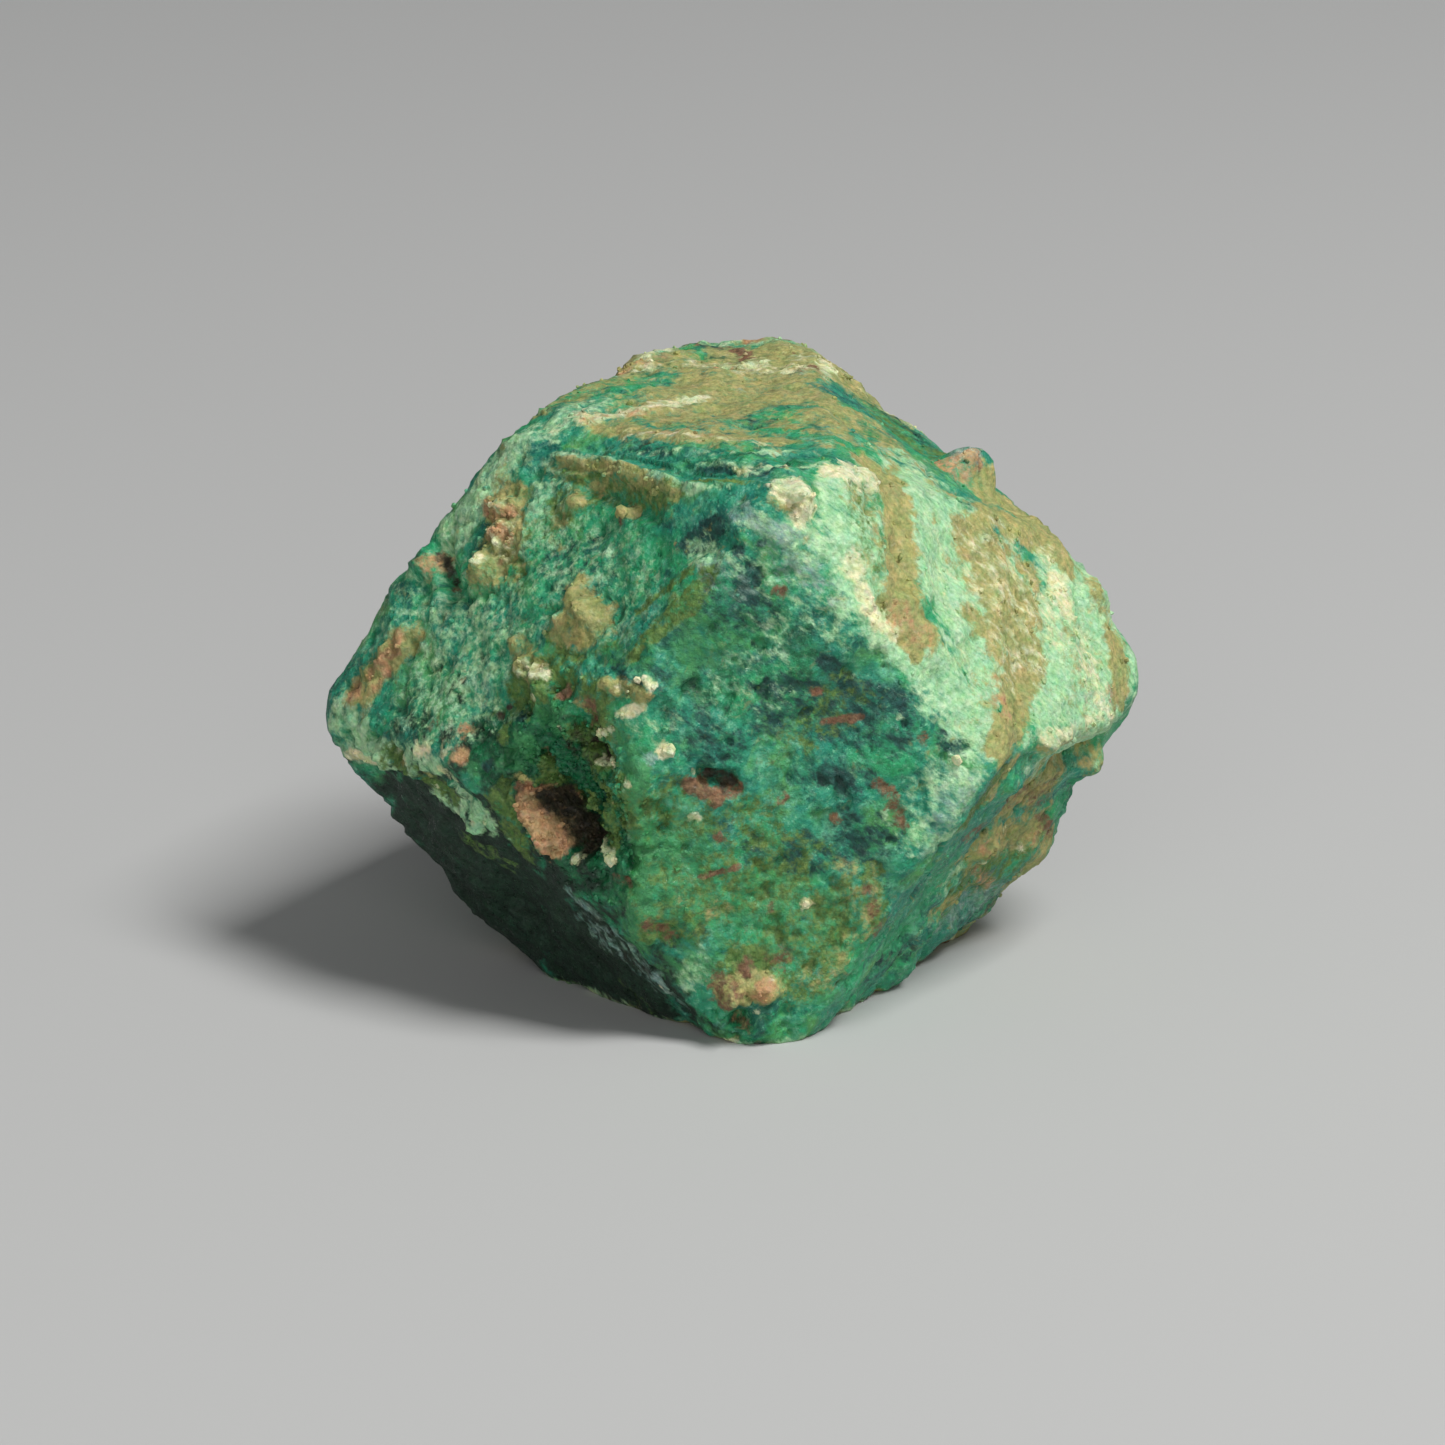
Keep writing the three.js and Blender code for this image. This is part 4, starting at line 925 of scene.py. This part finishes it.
# Crumbs that stand out one by one: place, radius, pigment.
CRUMBS = [
    ((-2.2, -6.6, 0.32), 0.15, "cream"),
    ((-2.85, -6.6, 1.9), 0.1, "cream"),
    ((-2.55, -6.6, 1.75), 0.07, "cream"),
    ((-3.55, -6.25, 0.6), 0.1, "cream"),
    ((-3.5, -6.3, -0.1), 0.11, "cream"),
    ((-4.15, -5.8, -2.4), 0.12, "cream"),
    ((-3.5, -6.3, -2.3), 0.12, "cream"),
    ((4.1, -6.6, -0.15), 0.12, "cream"),
    ((-2.9, -3.95, 4.85), 0.17, "ochre"),
    ((-3.1, -3.8, 4.9), 0.13, "ochre"),
    ((-2.3, -4.4, 5.5), 0.14, "ochre"),
    ((0.8, -6.6, -3.3), 0.1, "cream"),
]


# How many grains lie on the crust, the radius of the smallest, how much larger they get, how high they sit.
GRAINS = 1500
GRAIN_RADIUS = 0.035
GRAIN_SPREAD = 0.05
GRAIN_RISE = 0.1

# Grains keep this far above the foot, in millimetres.
GRAIN_GROUND = 0.4


def nearest_vertex(worn, place):
    return int(np.argmin(np.linalg.norm(worn - to_surface(np.array([place])), axis=1)))


def build_grains(crystal, worn, amounts):
    """Loose-looking grains of the crust, thickest on the ochre, the broken corner and the edges."""
    chance = random.Random(11)
    corners, triangles = one_grain()
    placed = vertices_of(crystal.data)
    flat = np.empty(3 * len(placed))
    crystal.data.vertex_normals.foreach_get("vector", flat)
    normals = flat.reshape(-1, 3)
    broken = 1 - smooth(0.8, 2.4, distance_to(worn, BROKEN))
    liking = 0.01 + 0.04 * amounts["ochre"] + 0.25 * amounts["cream"] + 0.4 * amounts["copper"] + 0.6 * broken
    liking[placed[:, 2] < GRAIN_GROUND * MM] = 0
    # the net is finer at the front, so its vertices count for less
    crowd = np.where(at_front(worn), 0.25, 1)
    hosts = chance.choices(range(len(placed)), weights=(liking * crowd).tolist(), k=GRAINS)
    jobs = [(host, GRAIN_RADIUS + GRAIN_SPREAD * chance.random() ** 2, None) for host in hosts]
    jobs += [(nearest_vertex(worn, place), radius, pigment) for place, radius, pigment in CRUMBS]
    points, faces, values = [], [], {name: [] for name in [*PIGMENTS, "relief"]}
    for host, radius, pigment in jobs:
        turn = Matrix.Rotation(chance.uniform(0, 6.28), 3, Vector([chance.gauss(0, 1) for _ in range(3)]))
        shape = corners * [chance.uniform(0.7, 1.3) for _ in range(3)] @ np.array(turn).T
        centre = placed[host] + normals[host] * radius * GRAIN_RISE * MM
        faces.append(triangles + len(points) * len(corners))
        points.append(centre + shape * radius * MM)
        tone = chance.uniform(-0.06, 0.12)
        for name in PIGMENTS:
            amount = amounts[name][host] if pigment is None else float(name == pigment)
            values[name].append(amount)
        values["relief"].append(tone)
    mesh = bpy.data.meshes.new("malachite_grains")
    mesh.from_pydata(np.vstack(points).tolist(), [], np.vstack(faces).tolist())
    grains = bpy.data.objects.new("malachite_grains", mesh)
    bpy.context.collection.objects.link(grains)
    each = {name: np.repeat(value, len(corners)) for name, value in values.items()}
    write_amounts(mesh, {name: each[name] for name in PIGMENTS}, each["relief"])
    return grains


class Bench:
    """Lays nodes into one node tree and joins them."""

    def __init__(self, tree):
        self.tree = tree

    def add(self, kind, inputs=(), **settings):
        node = self.tree.nodes.new(kind)
        for name, value in settings.items():
            setattr(node, name, value)
        self.join(node, dict(inputs))
        return node

    def join(self, node, inputs):
        for name, value in inputs.items():
            if isinstance(value, bpy.types.NodeSocket):
                self.tree.links.new(value, node.inputs[name])
            else:
                node.inputs[name].default_value = value

    def math(self, operation, a, b=0.0, clamp=False):
        return self.add("ShaderNodeMath", {0: a, 1: b}, operation=operation, use_clamp=clamp).outputs[0]

    def vector(self, operation, a, b, output=0):
        """Vector arithmetic. A plain number as b is a scale."""
        inputs = {0: a, "Scale": b} if isinstance(b, float) else {0: a, 1: b}
        return self.add("ShaderNodeVectorMath", inputs, operation=operation).outputs[output]

    def clouds(self, place, scale, detail, roughness, seed):
        return self.noises(place, scale, detail, roughness, seed)["Fac"]

    def noises(self, place, scale, detail, roughness, seed):
        shifted = self.vector("ADD", place, self.shift(seed))
        inputs = {"Vector": shifted, "Scale": scale, "Detail": detail, "Roughness": roughness}
        return self.add("ShaderNodeTexNoise", inputs).outputs

    def shift(self, seed):
        """A seed as a place to start from."""
        if isinstance(seed, bpy.types.NodeSocket):
            return self.add("ShaderNodeCombineXYZ", {0: seed, 1: seed, 2: seed}).outputs[0]
        return (seed, 1.7 * seed, -2.3 * seed)

    def fade(self, value, low, high, start=0.0, end=1.0):
        inputs = {"Value": value, "From Min": low, "From Max": high, "To Min": start, "To Max": end}
        return self.add("ShaderNodeMapRange", inputs, interpolation_type="SMOOTHSTEP").outputs[0]

    def lay(self, share, below, above, blend="MIX"):
        """The colour above over the colour below, as far as share says."""
        node = self.add("ShaderNodeMix", data_type="RGBA", blend_type=blend)
        for socket, value in ((node.inputs[0], share), (node.inputs[6], below), (node.inputs[7], above)):
            if isinstance(value, bpy.types.NodeSocket):
                self.tree.links.new(value, socket)
            elif isinstance(value, tuple):
                socket.default_value = (*value, 1)
            else:
                socket.default_value = value
        return node.outputs[2]

    def stretched(self, place, turn, lengths):
        """The place in turned axes with a length for each: what is drawn in them is drawn out."""
        inputs = {"Vector": place, "Rotation": turn, "Scale": lengths}
        return self.add("ShaderNodeMapping", inputs, vector_type="TEXTURE").outputs[0]


def group(name, inputs, outputs):
    """A new node group with named sockets."""
    tree = bpy.data.node_groups.new(name, "ShaderNodeTree")
    for label, kind in inputs:
        tree.interface.new_socket(label, in_out="INPUT", socket_type=kind)
    for label, kind in outputs:
        tree.interface.new_socket(label, in_out="OUTPUT", socket_type=kind)
    bench = Bench(tree)
    return bench, bench.add("NodeGroupInput").outputs, bench.add("NodeGroupOutput").inputs


FLOAT, COLOR, VECTOR = "NodeSocketFloat", "NodeSocketColor", "NodeSocketVector"

# The middle of what a coloured noise gives.
HALVES = (0.5, 0.5, 0.5)


def pigment_group():
    """A ragged, grainy coat of one pigment over the colour below it."""
    inputs = [("Below", COLOR), ("Light Shade", COLOR), ("Dark Shade", COLOR), ("Amount", FLOAT)]
    inputs += [("Place", VECTOR), ("Closeness", FLOAT), ("Raggedness", FLOAT), ("Seed", FLOAT)]
    bench, given, out = group("pigment coat", inputs, [("Color", COLOR), ("Cover", FLOAT)])
    edge = bench.clouds(given["Place"], given["Closeness"], 4, 0.7, given["Seed"])
    ragged = bench.math("MULTIPLY", bench.math("SUBTRACT", edge, 0.5), given["Raggedness"])
    amount = bench.math("ADD", given["Amount"], ragged)
    cover = bench.fade(amount, 0.2, 0.85)
    there = bench.fade(given["Amount"], 0.02, 0.25)
    cover = bench.math("MULTIPLY", cover, there)
    closer = bench.math("MULTIPLY", given["Closeness"], 2.1)
    tone = bench.clouds(given["Place"], closer, 3, 0.7, bench.math("ADD", given["Seed"], 7.0))
    shade = bench.lay(bench.fade(tone, 0.3, 0.7), given["Dark Shade"], given["Light Shade"])
    colour = bench.lay(cover, given["Below"], shade)
    bench.tree.links.new(colour, out["Color"])
    bench.tree.links.new(cover, out["Cover"])
    return bench.tree


# The bare malachite's own shades.
GREEN_GROUND = (0.022, 0.33, 0.13)
TEAL_GROUND = (0.014, 0.25, 0.15)
FIBRES = (0.2, 0.58, 0.34)

# What lies over them: whether it drifts with the large patches, its cloud (closeness, detail, roughness and
# seed), where that fades in, where it is full and how much it covers then, and its shade.
GROUND_SHADES = [
    # leaf green
    (True, (0.8, 4, 0.6, 4.0), (0.5, 0.68, 0.7), (0.11, 0.36, 0.08)),
    # dark hollows
    (True, (1.05, 5, 0.66, 6.0), (0.48, 0.34, 0.8), (0.006, 0.1, 0.085)),
    # pale crust
    (True, (1.4, 5, 0.7, 9.0), (0.54, 0.72, 0.65), (0.16, 0.52, 0.3)),
    # tan dust
    (True, (2.4, 4, 0.65, 18.0), (0.58, 0.7, 0.6), (0.24, 0.27, 0.1)),
    # pale flecks
    (False, (6.0, 4, 0.75, 12.0), (0.52, 0.72, 0.7), (0.2, 0.56, 0.34)),
    # dark pores
    (False, (3.8, 4, 0.7, 15.0), (0.45, 0.28, 0.65), (0.005, 0.07, 0.05)),
]


def ground_group():
    """The green ground: patches of green and teal, dark emerald hollows and fine pale fibres."""
    bench, given, out = group("malachite ground", [("Place", VECTOR)], [("Color", COLOR)])
    place = given["Place"]
    drift = bench.add("ShaderNodeTexNoise", {"Vector": place, "Scale": 0.8, "Detail": 2.0}).outputs["Color"]
    pushed = bench.vector("SCALE", bench.vector("SUBTRACT", drift, HALVES), 1.6)
    moved = bench.vector("ADD", place, pushed)
    teal = bench.clouds(moved, 0.45, 3, 0.55, 2.0)
    colour = bench.lay(bench.fade(teal, 0.38, 0.6), GREEN_GROUND, TEAL_GROUND)
    for drifting, cloud, (low, high, share), shade in GROUND_SHADES:
        spread = bench.clouds(moved if drifting else place, *cloud)
        colour = bench.lay(bench.fade(spread, low, high, 0, share), colour, shade)
    fibres = bench.clouds(bench.stretched(moved, (0.2, 0.7, 0.1), (0.8, 0.14, 0.14)), 1.0, 3, 0.6, 21.0)
    across = bench.clouds(bench.stretched(moved, (0.0, -0.35, -0.4), (0.7, 0.14, 0.14)), 1.0, 3, 0.6, 27.0)
    fine = bench.math("MAXIMUM", bench.fade(fibres, 0.55, 0.75), bench.fade(across, 0.57, 0.77))
    colour = bench.lay(bench.math("MULTIPLY", fine, 0.45), colour, FIBRES)
    bench.tree.links.new(colour, out["Color"])
    return bench.tree


# The bare ground's roughness, the crust's gloss, and the height of the finest unevenness, in metres.
GROUND_ROUGHNESS = 0.58
GLOSS = 0.45
BUMP_HEIGHT = 0.00008

# What the colour in the low places of the fine relief is multiplied by, and the pale colour laid softly over
# the high places.
LOW_RELIEF_DARKENING = (0.35, 0.42, 0.3)
HIGH_RELIEF_PALING = (0.75, 0.85, 0.7)

# How closely the shades wander, how strongly in red, green and blue, and a seed.
WANDER = [(2.3, (1.0, 0.6, 0.8), 51.0), (7.5, (0.9, 0.6, 0.7), 57.0)]


def attribute(bench, name):
    """A value kept on the vertices."""
    return bench.add("ShaderNodeAttribute", attribute_name=name, attribute_type="GEOMETRY").outputs["Fac"]


def coats(bench, place):
    """The green ground with the coats of all pigments over it: colour and roughness."""
    ground = bench.add("ShaderNodeGroup", node_tree=ground_group())
    bench.tree.links.new(place, ground.inputs["Place"])
    colour = ground.outputs["Color"]
    coat_tree = pigment_group()
    # the pale and the dark pigments lie in short streaks that run down to the right
    streaks = bench.stretched(place, (0.2, 0.7, 0.1), (1.6, 0.75, 0.75))
    roughness = GROUND_ROUGHNESS
    for number, (name, (light, dark, closeness, ragged, rough)) in enumerate(PIGMENTS.items()):
        inputs = {"Below": colour, "Light Shade": (*light, 1), "Dark Shade": (*dark, 1)}
        inputs["Amount"] = attribute(bench, name)
        inputs |= {"Place": streaks if name in STREAKED else place, "Closeness": closeness}
        inputs |= {"Raggedness": ragged, "Seed": 3.0 * number}
        coat = bench.add("ShaderNodeGroup", node_tree=coat_tree)
        bench.join(coat, inputs)
        colour = coat.outputs["Color"]
        cover = coat.outputs["Cover"]
        mixed = {"Factor": cover, "A": roughness, "B": rough}
        roughness = bench.add("ShaderNodeMix", mixed).outputs["Result"]
    return colour, roughness


def wandering(bench, place, colour):
    """The colour with every shade wandering a little, in coarse and in fine spots."""
    for scale, strengths, seed in WANDER:
        noises = bench.noises(place, scale, 2.0, 0.6, seed)
        wander = bench.lay(0.5, noises["Color"], noises["Fac"])
        inputs = {0: wander, 1: strengths, 2: tuple(1 - strength / 2 for strength in strengths)}
        factor = bench.add("ShaderNodeVectorMath", inputs, operation="MULTIPLY_ADD").outputs[0]
        colour = bench.lay(1.0, colour, factor, "MULTIPLY")
    return colour


def darker_low_paler_high(bench, colour):
    """The colour made darker in the low places of the fine relief, and paler on the high ones."""
    relief = attribute(bench, "relief")
    low = bench.fade(relief, 0.0, -0.15, 0, 0.45)
    colour = bench.lay(low, colour, LOW_RELIEF_DARKENING, "MULTIPLY")
    high = bench.fade(relief, 0.02, 0.12, 0, 0.2)
    return bench.lay(high, colour, HIGH_RELIEF_PALING, "SOFT_LIGHT")


def fine_bump(bench, place):
    """The unevenness that is too small for the net, with tiny crystal faces that catch the light."""
    uneven = bench.clouds(place, 5.5, 4, 0.65, 33.0)
    close = bench.vector("SCALE", place, 8.0)
    crystals = bench.add("ShaderNodeTexVoronoi", {"Vector": close, "Scale": 1.0}).outputs
    lean = bench.vector("SUBTRACT", crystals["Color"], HALVES)
    apart = bench.vector("SUBTRACT", close, crystals["Position"])
    tilt = bench.vector("DOT_PRODUCT", lean, apart, "Value")
    height = bench.math("ADD", uneven, bench.math("MULTIPLY", tilt, 0.8))
    inputs = {"Height": height, "Distance": BUMP_HEIGHT, "Strength": 0.9}
    return bench.add("ShaderNodeBump", inputs).outputs[0]


def crust_material():
    """Malachite with all its pigments laid over the green ground."""
    material = bpy.data.materials.new("malachite_crust")
    material.use_nodes = True
    material.node_tree.nodes.clear()
    bench = Bench(material.node_tree)
    where = bench.add("ShaderNodeTexCoord").outputs["Object"]
    place = bench.add("ShaderNodeMapping", {"Vector": where, "Scale": (1 / MM, 1 / MM, 1 / MM)}).outputs[0]
    colour, roughness = coats(bench, place)
    colour = darker_low_paler_high(bench, wandering(bench, place, colour))
    glint = bench.fade(bench.clouds(place, 11.0, 1, 0.5, 44.0), 0.58, 0.66, 0, -0.4)
    roughness = bench.math("ADD", roughness, glint, clamp=True)
    shader = bench.add("ShaderNodeBsdfPrincipled", {"Base Color": colour, "Roughness": roughness})
    shader.inputs["Specular IOR Level"].default_value = GLOSS
    bench.tree.links.new(fine_bump(bench, place), shader.inputs["Normal"])
    surface = bench.add("ShaderNodeOutputMaterial")
    bench.tree.links.new(shader.outputs[0], surface.inputs["Surface"])
    return material


def plain_material(name, colour, roughness):
    material = bpy.data.materials.new(name)
    material.use_nodes = True
    shader = material.node_tree.nodes["Principled BSDF"]
    shader.inputs["Base Color"].default_value = (*colour, 1)
    shader.inputs["Roughness"].default_value = roughness
    return material


def lamp(name, direction, distance, width, power):
    """A square soft light that looks at the crystal's middle."""
    bpy.ops.object.select_all(action="DESELECT")
    unit = Vector(direction).normalized()
    bpy.ops.object.light_add(type="AREA", location=Vector(MIDDLE * MM) + unit * distance)
    light = bpy.context.object
    light.name = name
    light.rotation_euler = unit.to_track_quat("Z", "Y").to_euler()
    light.data.size = width
    light.data.energy = power


# The soft lights: name, direction from the crystal, distance and width in metres, power in watts.
LAMPS = [("key", (0.5, -0.38, 1.0), 0.35, 0.12, 1.2), ("fill", (-0.15, -1.0, 0.35), 0.45, 0.35, 0.7)]

# The floor and the faint light from all round.
FLOOR_WIDTH = 4
FLOOR_SHADE = (0.5, 0.5, 0.49)
FLOOR_ROUGHNESS = 0.8
AIR_SHADE = (0.8, 0.82, 0.85)
AIR_LIGHT = 0.16

# The camera: where it stands round the crystal and how high, its distance in metres, lens and shift.
CAMERA_TURN = math.radians(-5.78)
CAMERA_LIFT = math.radians(17)
CAMERA_DISTANCE = 0.1631
CAMERA_LENS = 182.4
CAMERA_SHIFT = (-0.0118, -0.0358)


def set_camera():
    turn, lift = CAMERA_TURN, CAMERA_LIFT
    back = Vector((math.sin(turn) * math.cos(lift), -math.cos(turn) * math.cos(lift), math.sin(lift)))
    right = Vector((math.cos(turn), math.sin(turn), 0))
    camera = bpy.data.objects.new("camera", bpy.data.cameras.new("camera"))
    bpy.context.collection.objects.link(camera)
    axes = Matrix((right, back.cross(right), back)).transposed()
    camera.matrix_world = Matrix.Translation(Vector(MIDDLE * MM) + back * CAMERA_DISTANCE) @ axes.to_4x4()
    camera.data.sensor_width = 36
    camera.data.lens = CAMERA_LENS
    camera.data.shift_x, camera.data.shift_y = CAMERA_SHIFT
    camera.data.clip_start = 0.01
    camera.data.dof.use_dof = False
    bpy.context.scene.camera = camera


def set_stage():
    """A pale floor and soft studio light."""
    bpy.ops.object.select_all(action="DESELECT")
    bpy.ops.mesh.primitive_plane_add(size=FLOOR_WIDTH, location=(0, 0, 0))
    floor = bpy.context.object
    floor.name = "floor"
    floor.data.materials.append(plain_material("pale_floor", FLOOR_SHADE, FLOOR_ROUGHNESS))
    for values in LAMPS:
        lamp(*values)
    world = bpy.data.worlds.new("studio")
    world.use_nodes = True
    background = world.node_tree.nodes["Background"]
    background.inputs["Color"].default_value = (*AIR_SHADE, 1)
    background.inputs["Strength"].default_value = AIR_LIGHT
    bpy.context.scene.world = world
    bpy.context.scene.view_settings.view_transform = "Standard"


crystal, worn, amounts = build_crystal()
grains = build_grains(crystal, worn, amounts)
material = crust_material()
for piece in (crystal, grains):
    piece.data.materials.clear()
    piece.data.materials.append(material)
    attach(piece, "root")
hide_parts("malachite_crystal")
set_stage()
set_camera()
